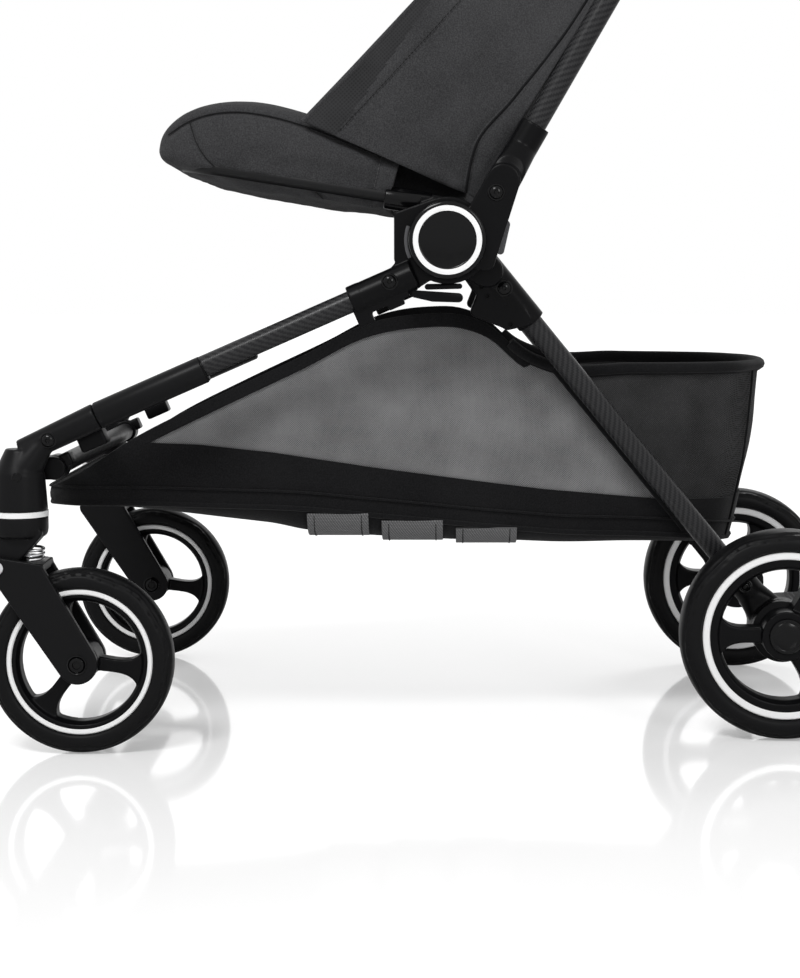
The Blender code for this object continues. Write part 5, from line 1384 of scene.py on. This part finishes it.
def stitched(points, name, body, pitch=0.0036, length=0.0024, radius=0.00038, material=None):
    """A row of single stitches along a line that lies on the cloth."""
    made = bmesh.new()
    walked = 0.0
    wanted = pitch / 2
    for start, end in zip(points, points[1:]):
        step = (end - start).length
        while step > 0 and wanted <= walked + step:
            centre = start.lerp(end, (wanted - walked) / step)
            turn = (end - start).to_track_quat("Z", "Y").to_matrix().to_4x4()
            place = Matrix.Translation(centre) @ turn
            bmesh.ops.create_cone(made, cap_ends=True, segments=6, radius1=radius, radius2=radius,
                                  depth=length, matrix=place)
            wanted += pitch
        walked += step
    mesh = bpy.data.meshes.new(name)
    made.to_mesh(mesh)
    made.free()
    piece = bpy.data.objects.new(name, mesh)
    bpy.context.scene.collection.objects.link(piece)
    return finished(piece, name, body, material or LIGHT_THREAD, angle=60)


def with_second(piece, material, chosen):
    """Give a second finish to the faces whose centre passes a test."""
    piece.data.materials.append(material)
    for face in piece.data.polygons:
        if chosen(face.center):
            face.material_index = 1
    return piece


def seat_ring(place, crown, seam, under):
    """One section of the seat: a crowned top, straight sides and tight lower corners around the seat tube."""
    nose = ramp(-place, 0.188, 0.060)
    half = SEAT_SIDE - 0.030 * (1 - math.sqrt(1 - nose * nose))
    low = min(0.0095, (seam - under) * 0.42)
    high = min(0.0150, (seam - under) * 0.5)
    right = [(x, under) for x in np.linspace(0, half - low, 14)[:-1]]
    for turn in np.linspace(-90, 0, 6):
        a = math.radians(turn)
        right.append((half - low + low * math.cos(a), under + low + low * math.sin(a)))
    for share in np.linspace(0, 1, 8)[1:-1]:
        right.append((half + 0.0012 * math.sin(math.pi * share),
                      under + low + (seam - high - under - low) * share))
    for turn in np.linspace(0, 90, 6):
        a = math.radians(turn)
        right.append((half - high + high * math.cos(a), seam - high + high * math.sin(a)))
    for share in np.linspace(1, 0, 16)[1:]:
        right.append(((half - high) * share, seam + (crown - seam) * (1 - share**2)))
    left = [(-x, z) for x, z in right[-2:0:-1]]
    return [from_hub(x, place, z) for x, z in right + left]


def seat():
    rings = [seat_ring(*row) for row in smooth_rows(SEAT_STATIONS, 0.006)]
    pad = puffed(loft(rings), 0.0048, 0.0045, 2.6)
    editing(pad)
    bpy.ops.mesh.bisect(plane_co=from_hub(0, *SEAT_END), plane_no=SEAT_END_NORMAL, use_fill=True,
                        clear_outer=True)
    bpy.ops.object.mode_set(mode="OBJECT")
    outward = []
    for line in (SEAT_SEAM, SEAT_LOW_SEAM, SEAT_HEM):
        outward.append(side_line(pad, line))
    mirrored = [[Vector((-p.x, p.y, p.z)) for p in line] for line in outward]
    channel = smooth_line([from_hub(0, -0.06, 0.2), from_hub(0, -0.15, 0.2), from_hub(0, -0.225, 0.2)])
    middle = dropped_on(pad, [Vector((p.x, p.y, HUB.z + 0.11)) for p in channel], (0, 0, -1))
    creased(pad, outward + mirrored, 0.0030, 0.0022)
    creased(pad, [middle], 0.004, 0.0018)
    wrinkled(pad, 0.0018, 24, lambda s: min(1.0, max(0.0, (HUB.z + 0.095 - s[2]) / 0.02)), (1, 1, 2.2))
    finished(pad, "seat_cushion", None, CLOTH, ["seat_pad"], 80)
    pieces = [pad]
    seam, low_seam, hem = outward
    pieces.append(cord_line(moved(seam, -0.0010), 0.0006, "seat_piping_left", None, DARK_CLOTH))
    pieces.append(cord_line(moved(low_seam, -0.0012), 0.0004, "seat_low_piping_left", None, THREAD))
    pieces.append(stitched(moved(hem, -0.0018), "seat_hem_stitching_left", None))
    for piece in pieces[1:]:
        pieces.append(other_side(piece))
    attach(pad, "root")
    for piece in pieces[1:]:
        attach(piece, "root")
    for piece in pieces:
        flattens(piece)


def seat_rear():
    """The cloth behind the hem, which hangs between the two seat tubes: black as painted shade for the dark
    gap behind the seat.
    """
    rows = ((-0.0500, 0.0740, 0.0270), (-0.0300, 0.0690, 0.0275), (-0.0050, 0.0600, 0.0285),
            (0.0150, 0.0500, 0.0330))
    rings = []
    for place, top, low in smooth_rows(rows, 0.006):
        ring = []
        for k in range(40):
            turn = 2 * math.pi * k / 40
            c, s = math.cos(turn), math.sin(turn)
            across = 0.1665 * squared(c, 0.3)
            dip = 0.010 * (1 - (across / 0.1665) ** 2) if s > 0 else 0.0
            up = (top + low) / 2 + (top - low) / 2 * squared(s, 0.45) - dip
            ring.append(from_hub(across, place, up))
        rings.append(ring)
    piece = softened(loft(rings), 0.003, 3, 50)
    modified(piece, "SUBSURF", levels=1, render_levels=1)
    # Black cloth here is painted shade: the seat's rear is darkened where it sits in the gap's shadow.
    finished(piece, "seat_rear_cloth", "root", DARK_CLOTH, angle=80)
    flattens(piece)


# The side wing: its front, band and back edges run up from the seat, each as points (back, up)
WING_FRONT = ((-0.1190, 0.0975), (-0.0220, 0.2000), (0.1480, 0.3720))
WING_BAND = ((-0.0890, 0.0895), (0.0100, 0.1960), (0.1640, 0.3690))
WING_BACK = ((0.0270, 0.0330), (0.0470, 0.0760), (0.1370, 0.2200), (0.2150, 0.3580))
WING_FOLD = ((0.0150, 0.0400), (0.0161, 0.0471), (0.0248, 0.0811), (0.0534, 0.1151), (0.0973, 0.1706),
             (0.1620, 0.2830))
WING_CORNER = (0.0220, 0.0420)
WING_IN = 0.1800


def along_rows(line, count):
    """Evenly spaced points along a line of (back, up) points."""
    spots = np.array(line, float)
    reach = np.concatenate(([0.0], np.cumsum(np.linalg.norm(np.diff(spots, axis=0), axis=1))))
    wanted = np.linspace(0, reach[-1], count)
    return np.column_stack([np.interp(wanted, reach, spots[:, k]) for k in range(2)])


def wings():
    rows, columns = 70, 44
    front, back = (along_rows(line, rows) for line in (WING_FRONT, WING_BACK))
    sheet = []
    for k in range(rows):
        rise = k / (rows - 1)
        row = []
        for n in range(columns):
            share = n / (columns - 1)
            y, z = front[k] * (1 - share) + back[k] * share
            lean = 0.0050 * math.sin(math.pi * share) * (0.4 + 0.6 * math.sin(math.pi * min(rise * 1.3, 1)))
            far = math.hypot(y - WING_CORNER[0], z - WING_CORNER[1])
            turn = math.atan2(z - WING_CORNER[1], WING_CORNER[0] - y)
            fold = (0.0020 * math.sin(turn * 17 + 2 * math.sin(turn * 5))
                    * min(far / 0.02, 1) * math.exp(-far / 0.075))
            ripple = 0.0016 * noise.fractal(Vector((share * 5, rise * 4, 0.3)), 0.9, 2.0, 3)
            over = max(0.0, 1 - rise / 0.16) * ramp(-y, 0.030, 0.02)
            under = max(0.0, 1 - rise / 0.10) * ramp(y, -0.030, 0.02)
            join = ramp(share, 0.70, 0.30) ** 2 * ramp(rise, 0.13, 0.10)
            x = WING_IN + 0.0042 + lean + 0.0055 * over - 0.0060 * under + fold + ripple + 0.0190 * join
            row.append(from_hub(x, y, z))
        sheet.append(row)
    wing = loft(sheet, closed=False, capped=False)
    modified(wing, "SOLIDIFY", thickness=0.0024, offset=0)
    seam = side_line(wing, WING_BAND, 0.003)
    creased(wing, [seam], 0.0022, 0.0012)
    crease = side_line(wing, WING_FOLD, 0.003)
    creased(wing, [crease], 0.0035, 0.0030)
    modified(wing, "SUBSURF", levels=1, render_levels=1)
    finished(wing, "seat_wing_left", "handle_frame", CLOTH, ["side_panel_left"], 80)
    low, bend, high = (from_hub(0, y, z) for y, z in WING_BAND)

    def in_front(centre):
        run = (centre.z - low.z) / (high.z - low.z)
        bent = low.lerp(bend, run * 2) if run < 0.4 else bend.lerp(high, (run - 0.4) / 0.6)
        return centre.y < bent.y - 0.0004

    with_second(wing, BAND_CLOTH, in_front)
    binding = cord_line([row[0] for row in sheet], 0.0022, "wing_front_binding_left", "handle_frame", CLOTH,
                        sides=12)
    back_points = [UPPER_ARM.at(0.2015, reach, 0.0074) for reach in np.linspace(0.1185, 0.4100, 60)]
    rear = cord_line(back_points, 0.0023, "wing_rear_binding_left", "handle_frame", DARK_CLOTH, sides=12)
    fold_cord = cord_line(moved(crease, -0.0014), 0.0013, "wing_fold_cord_left", "handle_frame", DARK_CLOTH)
    stitch = stitched(moved(seam, 0.0006), "wing_stitching_left", "handle_frame", material=THREAD)
    parts = [wing, binding, rear, fold_cord, stitch]
    copies = [other_side(part) for part in parts]
    for part in parts + copies:
        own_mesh(part)


# Backrest and harness

BACK_ANGLE = 59
BACK_TURN = math.radians(BACK_ANGLE)


def back_point(x, reach, ahead):
    """A point at a reach up the backrest and a distance in front of its hinge line."""
    y = 0.034 + math.cos(BACK_TURN) * reach - math.sin(BACK_TURN) * ahead
    z = 0.050 + math.sin(BACK_TURN) * reach + math.cos(BACK_TURN) * ahead
    return from_hub(x, y, z)


BACK_FRONT = Vector((0, -math.sin(BACK_TURN), math.cos(BACK_TURN)))


def rounded_end(reach, low, high, radius):
    """How far the outline pulls in near its two ends."""
    near = min(reach - low, high - reach)
    if near >= radius:
        return 0.0
    return radius - math.sqrt(max(radius**2 - (radius - near) ** 2, 0.0))


def slab_rings(low, high, half, back, front, corner, step, count, power, crown=0.0):
    rings = []
    for reach in np.linspace(low, high, max(int((high - low) / step), 8)):
        inset = rounded_end(reach, low - 0.0006, high + 0.0006, corner)
        thin = 1 - 0.55 * (rounded_end(reach, low - 0.0006, high + 0.0006, 0.012) / 0.012)
        ring = []
        for k in range(count):
            turn = 2 * math.pi * (k + 0.5) / count
            c, s = math.cos(turn), math.sin(turn)
            across = (half - inset) * squared(c, power)
            depth = (front - back) / 2 * thin
            swell = crown * (1 - (across / half) ** 2) * max(s, 0)
            ring.append(back_point(across, reach, (front + back) / 2 + depth * squared(s, 0.6) + swell))
        rings.append(ring)
    return rings


def backrest():
    board = loft(slab_rings(0.012, 0.500, 0.140, -0.0032, 0.0030, 0.045, 0.008, 48, 0.3))
    finished(board, "backrest_panel", "backrest", DARK_CLOTH, ["backrest_board"], 60)
    loop = []
    for k in range(180):
        turn = 2 * math.pi * k / 180
        c, s = math.cos(turn), math.sin(turn)
        loop.append(back_point(0.139 * squared(c, 0.28),
                               0.256 + 0.243 * squared(s, 0.28), 0.0))
    edge = pipe(loop, 0.0034, 12, closed=True)
    finished(edge, "backrest_binding", "backrest", CLOTH, angle=80)
    pad = puffed(loft(slab_rings(0.026, 0.486, 0.136, 0.0050, 0.0215, 0.040, 0.010, 56, 0.45, 0.002)), 0.0048,
                 0.005, 2.4)
    lines = []
    for reach in (0.150, 0.270, 0.390):
        row = [back_point(x, reach + 0.010 * math.cos(x * 11), 0.03) for x in np.linspace(-0.118, 0.118, 110)]
        lines.append(dropped_on(pad, row, -BACK_FRONT))
    for side in (1, -1):
        row = [back_point(side * (0.112 - 0.006 * math.sin(r * 6)), r, 0.03)
               for r in np.linspace(0.05, 0.455, 180)]
        lines.append(dropped_on(pad, row, -BACK_FRONT))
    creased(pad, lines, 0.0042, 0.0034)
    wrinkled(pad, 0.0018, 18, None, (1, 1, 1.5))
    finished(pad, "backrest_cushion", "backrest", CLOTH, ["backrest_pad"], 80)
    for number, line in enumerate(lines):
        stitched(dropped_on(pad, line[::2], -BACK_FRONT, 0.0002), f"backrest_stitching_{number + 1}",
                 "backrest", pitch=0.0044, length=0.003, material=THREAD)
    return pad


def strap_skin(points, across, half, thick):
    """A flat strap through points: its width lies along a direction, and its edges are rounded."""
    section = [(-half, 0.0), (-half + 0.0005, thick / 2), (half - 0.0005, thick / 2), (half, 0.0),
               (half - 0.0005, -thick / 2), (-half + 0.0005, -thick / 2)]
    rings = []
    along = [0.0]
    for start, end in zip(points, points[1:]):
        along.append(along[-1] + (end - start).length)
    for k, point in enumerate(points):
        heading = (points[min(k + 1, len(points) - 1)] - points[max(k - 1, 0)]).normalized()
        side = (Vector(across) - heading * heading.dot(Vector(across))).normalized()
        up = heading.cross(side)
        rings.append([point + side * a + up * b for a, b in section])
    piece = loft(rings)
    layer = piece.data.uv_layers.new(name="UVMap")
    for loop in piece.data.loops:
        ring, place = divmod(loop.vertex_index, len(section))
        layer.data[loop.index].uv = (along[ring], section[place][0])
    return piece


def strap(points, across, half, name):
    return finished(strap_skin(points, across, half, 0.0014), name, "backrest", STRAP, angle=50)


def over_pad(pad, spots, step, lift):
    """A smooth line over the backrest's cushion, through points given as (across, reach)."""
    line = smooth_line([back_point(x, reach, 0.05) for x, reach in spots], step)
    return dropped_on(pad, line, -BACK_FRONT, lift)


def harness(pad):
    inwards = -BACK_FRONT
    shoulder = ((0.048, 0.420), (0.050, 0.340), (0.042, 0.240), (0.022, 0.158), (0.016, 0.138))
    path = over_pad(pad, shoulder, 0.004, 0.0022)
    path = [path[0] + inwards * 0.010] + path[1:-4] + [back_point(0.0165, 0.141, 0.0400)]
    path = smooth_line(path[::3] + [path[-1]], 0.004)
    other_side(strap(path, (1, 0, 0), 0.0105, "shoulder_strap_left"))
    sleeve_line = over_pad(pad, ((0.049, 0.385), (0.049, 0.310), (0.040, 0.232)), 0.006, 0.0050)
    rings = []
    count = len(sleeve_line)
    for k, point in enumerate(sleeve_line):
        share = min(k, count - 1 - k) / 4
        grow = math.sqrt(min(1.0, 0.25 + share))
        ring = []
        for n in range(28):
            turn = 2 * math.pi * n / 28
            c, s = math.cos(turn), math.sin(turn)
            ring.append(point + Vector((1, 0, 0)) * 0.0205 * grow * squared(c, 0.6)
                        + BACK_FRONT * 0.0046 * grow * squared(s, 0.8))
        rings.append(ring)
    sleeve = modified(loft(rings), "SUBSURF", levels=2, render_levels=2)
    wrinkled(sleeve, 0.0010, 45)
    finished(sleeve, "shoulder_pad_left", "backrest", CLOTH, angle=80)
    other_side(sleeve)
    waist = over_pad(pad, ((0.122, 0.070), (0.080, 0.088), (0.040, 0.112)), 0.004, 0.0020)
    waist = [waist[0] + inwards * 0.008] + waist + [back_point(0.0275, 0.119, 0.0390)]
    waist = smooth_line(waist[::3] + [waist[-1]], 0.004)
    other_side(strap(waist, (0, 0.5, 0.86), 0.0095, "waist_strap_left"))
    crotch = over_pad(pad, ((0, 0.034), (0, 0.060), (0, 0.086)), 0.004, 0.0022)
    crotch = [crotch[0] + inwards * 0.010] + crotch + [back_point(0, 0.101, 0.0380)]
    strap(smooth_line(crotch[::3] + [crotch[-1]], 0.004), (1, 0, 0), 0.0125, "crotch_strap")
    for side, word in ((1, "left"), (-1, "right")):
        centre = back_point(side * 0.0335, 0.200, 0.0315)
        slots = [tilted_box(back_point(side * 0.0335, 0.200 + aside, 0.0315), (0.022, 0.0130, 0.0055),
                            BACK_ANGLE)
                 for aside in (-0.0055, 0.0055)]
        slide = without(softened(tilted_box(centre, (0.030, 0.024, 0.0035), BACK_ANGLE), 0.0008, 2), slots)
        finished(slide, "strap_slider_" + word, "backrest", SATIN)


def buckle():
    spots = ((-0.017, 0.104, 0.0085), (0.017, 0.104, 0.0085), (-0.016, 0.137, 0.0085), (0.016, 0.137, 0.0085))
    shell = hull([rod(back_point(x, reach, 0.0300), back_point(x, reach, 0.0400), radius, radius - 0.0015)
                  for x, reach, radius in spots])
    dome = hull([rod(back_point(0, 0.120, 0.0390), back_point(0, 0.120, 0.0430), 0.0165, 0.0140)])
    button_low, button_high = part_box("buckle_button")
    pocket = rod(back_point(0, 0.120, 0.0400), back_point(0, 0.120, 0.0600), 0.0108)
    whole = without(cast([shell, dome], 0.0007, 4, 0.4), [pocket])
    finished(whole, "harness_buckle", "backrest", SATIN, ["buckle"], 50)
    profile = [(0.0, 0.0098), (0.0040, 0.0098), (0.0052, 0.0092), (0.0057, 0.0078), (0.0058, 0.0060),
               (0.0054, 0.0035), (0.0052, 0.0010)]
    middle = (button_low + button_high) / 2
    press = turned(profile, middle - BACK_FRONT * 0.0036, tuple(BACK_FRONT), 48)
    finished(press, "buckle_press", "buckle_button", GREY, ["buckle_button"], 30)


def back_gussets():
    """Cloth from the backrest's edges out to the wings."""
    rows = []
    for reach in np.linspace(0.020, 0.400, 60):
        low = back_point(0.134, reach, 0.004)
        z = low.z - HUB.z
        rise = (z - WING_BACK[0][1]) / (WING_BACK[-1][1] - WING_BACK[0][1])
        outer = 0.1825 + 0.0195 * ramp(rise, 0.13, 0.10)
        wing_y = np.interp(z, [p[1] for p in WING_BACK], [p[0] for p in WING_BACK])
        row = []
        for k in range(14):
            share = k / 13
            x = 0.134 + (outer - 0.134) * share
            y = (low.y - HUB.y) * (1 - share) + (wing_y - 0.002) * share
            dip = 0.006 * math.sin(math.pi * share) * (1 + 0.5 * math.sin(reach * 60))
            row.append(from_hub(x, y + dip, z))
        rows.append(row)
    piece = loft(rows, closed=False, capped=False)
    modified(piece, "SOLIDIFY", thickness=0.0016, offset=0)
    modified(piece, "SUBSURF", levels=1, render_levels=1)
    finished(piece, "back_gusset_left", None, DARK_CLOTH, angle=80)
    copy = other_side(piece)
    for gusset, side in ((piece, 1), (copy, -1)):
        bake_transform(gusset)


# Basket

BASKET_ROWS = (
    (-0.3375, 0.140, 0.2110, 0.1975),
    (-0.320, 0.157, 0.2190, 0.1980),
    (-0.260, 0.164, 0.2560, 0.1980),
    (-0.200, 0.166, 0.2860, 0.1965),
    (-0.120, 0.166, 0.3240, 0.1935),
    (-0.070, 0.163, 0.3490, 0.1885),
    (-0.020, 0.159, 0.3580, 0.1835),
    (0.012, 0.156, 0.3570, 0.1800),
    (0.034, 0.153, 0.3490, 0.1775),
    (0.064, 0.147, 0.3240, 0.1745),
    (0.092, 0.140, 0.3125, 0.1715),
    (0.160, 0.126, 0.3108, 0.1680),
    (0.220, 0.112, 0.3105, 0.1640),
    (0.258, 0.088, 0.3105, 0.1600),
    (0.2755, 0.056, 0.3105, 0.1570),
)
BASKET_TAIL = ((0.2815, 0.028, 0.3105, 0.1560), (0.2828, 0.0, 0.3105, 0.1555))
BAND_TOP = ((-0.329, 0.2060), (-0.300, 0.2300), (-0.270, 0.2505), (-0.2596, 0.2513), (-0.2096, 0.2494),
            (-0.1488, 0.2431), (-0.067, 0.2302), (0.083, 0.2090), (0.178, 0.1990), (0.288, 0.1960))
# How far the floor cloth hangs below the side's lower edge
BELLY = ((-0.335, 0.002), (-0.273, 0.006), (-0.221, 0.011), (-0.149, 0.018), (-0.124, 0.0225),
         (-0.065, 0.022), (0.0, 0.019), (0.056, 0.0145), (0.150, 0.010), (0.250, 0.006), (0.288, 0.002))
TAIL_SLOPE = 0.027


def read_at(table, y, column=1):
    return float(np.interp(y, [row[0] for row in table], [row[column] for row in table]))


def tail_place(y, share):
    """Where a point of the wall lies front to back: the tail slopes forward towards the floor."""
    return y - TAIL_SLOPE * (1 - share) * ramp(y, 0.190, 0.090)


def belly(y, across):
    """How far the floor hangs at a share of its half width."""
    return read_at(BELLY, y) * (1 - abs(across) ** 14)


def basket_line():
    """The basket's plan as half width, rim and floor, from the nose's corner round to the tail."""
    half = smooth_rows(BASKET_ROWS, 0.006)
    half += list(BASKET_TAIL)
    rim, low = BASKET_ROWS[0][2:]
    nose = [(-0.3380, x, rim, low) for x in np.linspace(0.0, 0.128, 14)]
    nose[-1] = (-0.3378, 0.134, rim, low)
    left = nose + half
    right = [(y, -x, rim, low) for y, x, rim, low in left[-2:0:-1]]
    return left + right


def basket_wall(out=0.0, rows=16, top=None, bottom=None):
    """Rows of points up the basket's wall, from its floor to its rim or between two other heights."""
    sheet = []
    places = basket_line()
    for number, (y, x, rim, floor_z) in enumerate(places):
        low = floor_z if bottom is None else bottom(y, rim, floor_z)
        high = rim if top is None else top(y, rim, floor_z)
        before, after = places[number - 1], places[(number + 1) % len(places)]
        run = Vector((after[1] - before[1], after[0] - before[0], 0))
        outward = Vector((run.y, -run.x, 0)).normalized()
        column = []
        for k in range(rows):
            z = low + (high - low) * k / (rows - 1)
            share = (z - floor_z) / max(rim - floor_z, 0.001)
            wide = x * (0.96 + 0.04 * share)
            arch = math.sin(math.pi * ramp(share, 0, 1))
            swell = 0.0045 * arch * min((rim - floor_z) / 0.1, 1.0)
            uneven = 0.0020 * noise.fractal(Vector((y * 14, z * 18, x * 6)), 0.9, 2.0, 2) * arch
            spot = Vector((wide, HUB.y + tail_place(y, share), z)) + outward * (swell + uneven + out - 0.0015)
            column.append(spot)
        sheet.append(column)
    return sheet


def sheet_of(rows, thick):
    """A closed band of cloth from its upright rows of points."""
    piece = loft([list(column) for column in zip(*rows)], capped=False)
    return modified(piece, "SOLIDIFY", thickness=thick, offset=0)


def basket_part(piece, name, material, nodes=(), angle=80):
    finished(piece, name, "root", material, nodes, angle)
    return flattens(piece)


def band_top(y, rim, floor_z):
    return min(read_at(BAND_TOP, y), rim - 0.004)


def behind_leg(point):
    return (point - REAR_ARM.foot).dot(REAR_ARM.across) > 0


def basket():
    net_sheet = sheet_of(basket_wall(), 0.0007)
    editing(net_sheet)
    bpy.ops.mesh.bisect(plane_co=REAR_ARM.foot, plane_no=REAR_ARM.across)
    bpy.ops.object.mode_set(mode="OBJECT")
    basket_part(net_sheet, "basket_net", SIDE_NET, nodes=["basket"])
    with_second(net_sheet, REAR_NET, behind_leg)
    band = sheet_of(basket_wall(0.0016, 8, top=band_top), 0.0012)
    basket_part(band, "basket_lower_band", DARK_CLOTH)
    tape = sheet_of(basket_wall(0.0006, 5, top=lambda y, rim, low: rim + 0.001,
                                bottom=lambda y, rim, low: rim - (0.0105 if y < 0.07 else 0.005)), 0.0036)
    basket_part(softened(tape, 0.0007, 2, 50), "basket_rim_tape", DARK_CLOTH)
    line = basket_line()
    rim = [Vector((x, HUB.y + y, top + 0.0012)) for y, x, top, low in line if y > 0.050]
    rim = [p for p in rim if p.x >= 0] + [p for p in rim if p.x < 0]
    basket_part(pipe(smooth_line(rim, 0.004), 0.0049, 16), "basket_rear_rim", DARK_CLOTH)
    front = basket_wall(0.0032, 2, bottom=lambda y, rim, low: low + 0.0150)
    lower = [column[0] for column in front]
    basket_part(pipe(lower + [lower[0]], 0.0011, 8), "basket_band_piping", DARK_CLOTH)
    hem = [column[0] + Vector((0, 0, 0.0008)) for column in basket_wall(0.0020, 2)]
    basket_part(pipe(hem + [hem[0]], 0.0024, 12), "basket_floor_piping", DARK_CLOTH)
    basket_floor(line)
    seams()


def basket_floor(line):
    rows = []
    for y, x, _, low in line[: len(line) // 2 + 1]:
        half = max(x * 0.958, 0.001)
        row = []
        for k in range(61):
            share = math.sin(math.pi * (k / 60 - 0.5))
            row.append(Vector((half * share, HUB.y + tail_place(y, 0), low + 0.0016 - belly(y, share))))
        rows.append(row)
    wide = [row for row in rows if row[-1].x > 0.02]
    body = wide[:1] + [row for before, row in zip(wide, wide[1:]) if row[0].y > before[0].y + 0.0002]
    piece = loft(body, closed=False, capped=False)
    modified(piece, "SOLIDIFY", thickness=0.0018, offset=0)
    basket_part(piece, "basket_floor", DARK_CLOTH)
    for low_y, high_y, words in ((-0.1190, -0.0670, "front"), (-0.0560, -0.0040, "middle"),
                                 (0.0070, 0.0590, "rear")):
        middle_y = (low_y + high_y) / 2
        points = []
        half = read_at(BASKET_ROWS, middle_y) * 0.958 + 0.0022
        low_z = read_at(BASKET_ROWS, middle_y, 3)
        for k in range(90):
            share = math.sin(math.pi * (k / 89 - 0.5))
            points.append(Vector((half * share, HUB.y + middle_y, low_z - 0.0008 - belly(middle_y, share))))
        piece = strap_skin(points, (0, 1, 0), (high_y - low_y) / 2, 0.0016)
        basket_part(piece, "floor_webbing_" + words, GREY_STRAP, angle=50)
        for edge, end in ((low_y + 0.0060, "front"), (high_y - 0.0060, "rear")):
            row = [Vector((p.x, HUB.y + edge, p.z - 0.0010)) for p in points[1:-1]]
            name = f"floor_webbing_{words}_thread_{end}"
            thread = stitched(row, name, None, 0.0030, 0.0022, 0.0005, THREAD)
            basket_part(thread, name, THREAD)


def seams():
    """The tape down the basket's side behind each leg, and the seam at its rear corner."""
    rows = basket_wall(0.0030, 24)
    half = len(rows) // 2
    for chosen, word in ((rows[:half], "left"), (rows[half:], "right")):
        points = []
        for level in range(1, 24):
            column = [row[level] for row in chosen]
            for first, second in zip(column, column[1:]):
                one, two = ((p - REAR_ARM.foot).dot(REAR_ARM.across) + 0.0105 for p in (first, second))
                if one * two < 0:
                    points.append(first.lerp(second, one / (one - two)))
                    break
        basket_part(pipe(smooth_line(points, 0.006), 0.0022, 12), "basket_leg_piping_" + word, DARK_CLOTH)
        corner = min(chosen, key=lambda row: abs(row[12].y - (HUB.y + 0.262)))
        basket_part(pipe(corner, 0.0011, 8), "basket_corner_seam_" + word, DARK_CLOTH)


# Canopy

CANOPY_HALF = 0.1978
CANOPY_REACH = 0.2545
CANOPY_BEND = 0.082


def canopy_row(angle, out, start=0.040, count=64):
    """One section of the canopy: up one side, over the top and down the other."""
    half, reach, bend = CANOPY_HALF + out, CANOPY_REACH + out, CANOPY_BEND
    corner = bend * math.pi / 2
    side = reach - bend - start
    total = 2 * (side + corner) + 2 * (half - bend)
    turn = math.radians(angle)
    ahead = Vector((0, math.cos(turn), math.sin(turn)))
    row = []
    for k in range(count):
        run = total * k / (count - 1)
        mirror = 1
        if run > total / 2:
            run = total - run
            mirror = -1
        if run < side:
            x, r = half, start + run
        elif run < side + corner:
            bent = (run - side) / bend
            x, r = half - bend + bend * math.cos(bent), reach - bend + bend * math.sin(bent)
        else:
            x, r = half - bend - (run - side - corner), reach
        row.append(CANOPY_PIVOT + Vector((x * mirror, 0, 0)) + ahead * r)
    return row


def canopy():
    for name, start, end, bodies in (("rear", 78.0, 116.0, ("handle_frame", "canopy_rear")),
                                     ("front", 116.0, 166.5, ("canopy_rear", "canopy_front"))):
        rows = []
        steps = 22
        for k in range(steps + 1):
            share = k / steps
            angle = start + (end - start) * share
            hollow = -0.0065 * math.sin(math.pi * share) ** 1.2
            row = canopy_row(angle, hollow)
            for n, spot in enumerate(row):
                place = Vector((spot.x * 9, angle * 0.13, n * 0.03))
                dent = 0.0026 * noise.fractal(place, 0.9, 2.0, 3) * math.sin(math.pi * share)
                pull = (spot - CANOPY_PIVOT).normalized()
                row[n] = spot + pull * dent
            rows.append(row)
        piece = loft(rows, closed=False, capped=False)
        modified(piece, "SOLIDIFY", thickness=0.0014, offset=0)
        modified(piece, "SUBSURF", levels=1, render_levels=1)
        nodes = ["canopy_fabric"] if name == "front" else []
        finished(piece, "canopy_cloth_" + name, None, CLOTH, nodes, 80)
        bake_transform(piece)
    for name, angle, body, radius, material in (("rear_hem", 78.0, "handle_frame", 0.0024, DARK_CLOTH),
                                                ("middle_piping", 116.0, "canopy_rear", 0.0018, DARK_CLOTH),
                                                ("front_hem", 166.0, "canopy_front", 0.0030, DARK_CLOTH)):
        cord_line(canopy_row(angle, 0.0010), radius, "canopy_" + name, body, material, sides=12)
    stitched(canopy_row(163.6, 0.0012, count=160), "canopy_front_stitching", "canopy_front", 0.0044, 0.003,
             material=THREAD)
    drape()


def drape():
    """The net panel from the canopy's rear hem down to the top of the backrest."""
    top = canopy_row(78.0, -0.001, start=0.095, count=48)
    rows = []
    for k in range(24):
        share = k / 23
        row = []
        for n, high in enumerate(top):
            across = 1 - 2 * n / (len(top) - 1)
            low = back_point(0.139 * squared(across, 0.9), 0.462 + 0.030 * (1 - across**4), -0.005)
            billow = 0.010 * math.sin(math.pi * share) * (1 - across**2)
            row.append(high.lerp(low, share) + Vector((0, billow, 0)))
        rows.append(row)
    piece = loft(rows, closed=False, capped=False)
    modified(piece, "SOLIDIFY", thickness=0.0010, offset=0)
    modified(piece, "SUBSURF", levels=1, render_levels=1)
    finished(piece, "canopy_rear_net", None, REAR_NET, angle=80)
    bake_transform(piece)


seat()
seat_rear()
wings()
back_pad = backrest()
harness(back_pad)
buckle()
back_gussets()
basket()
canopy()
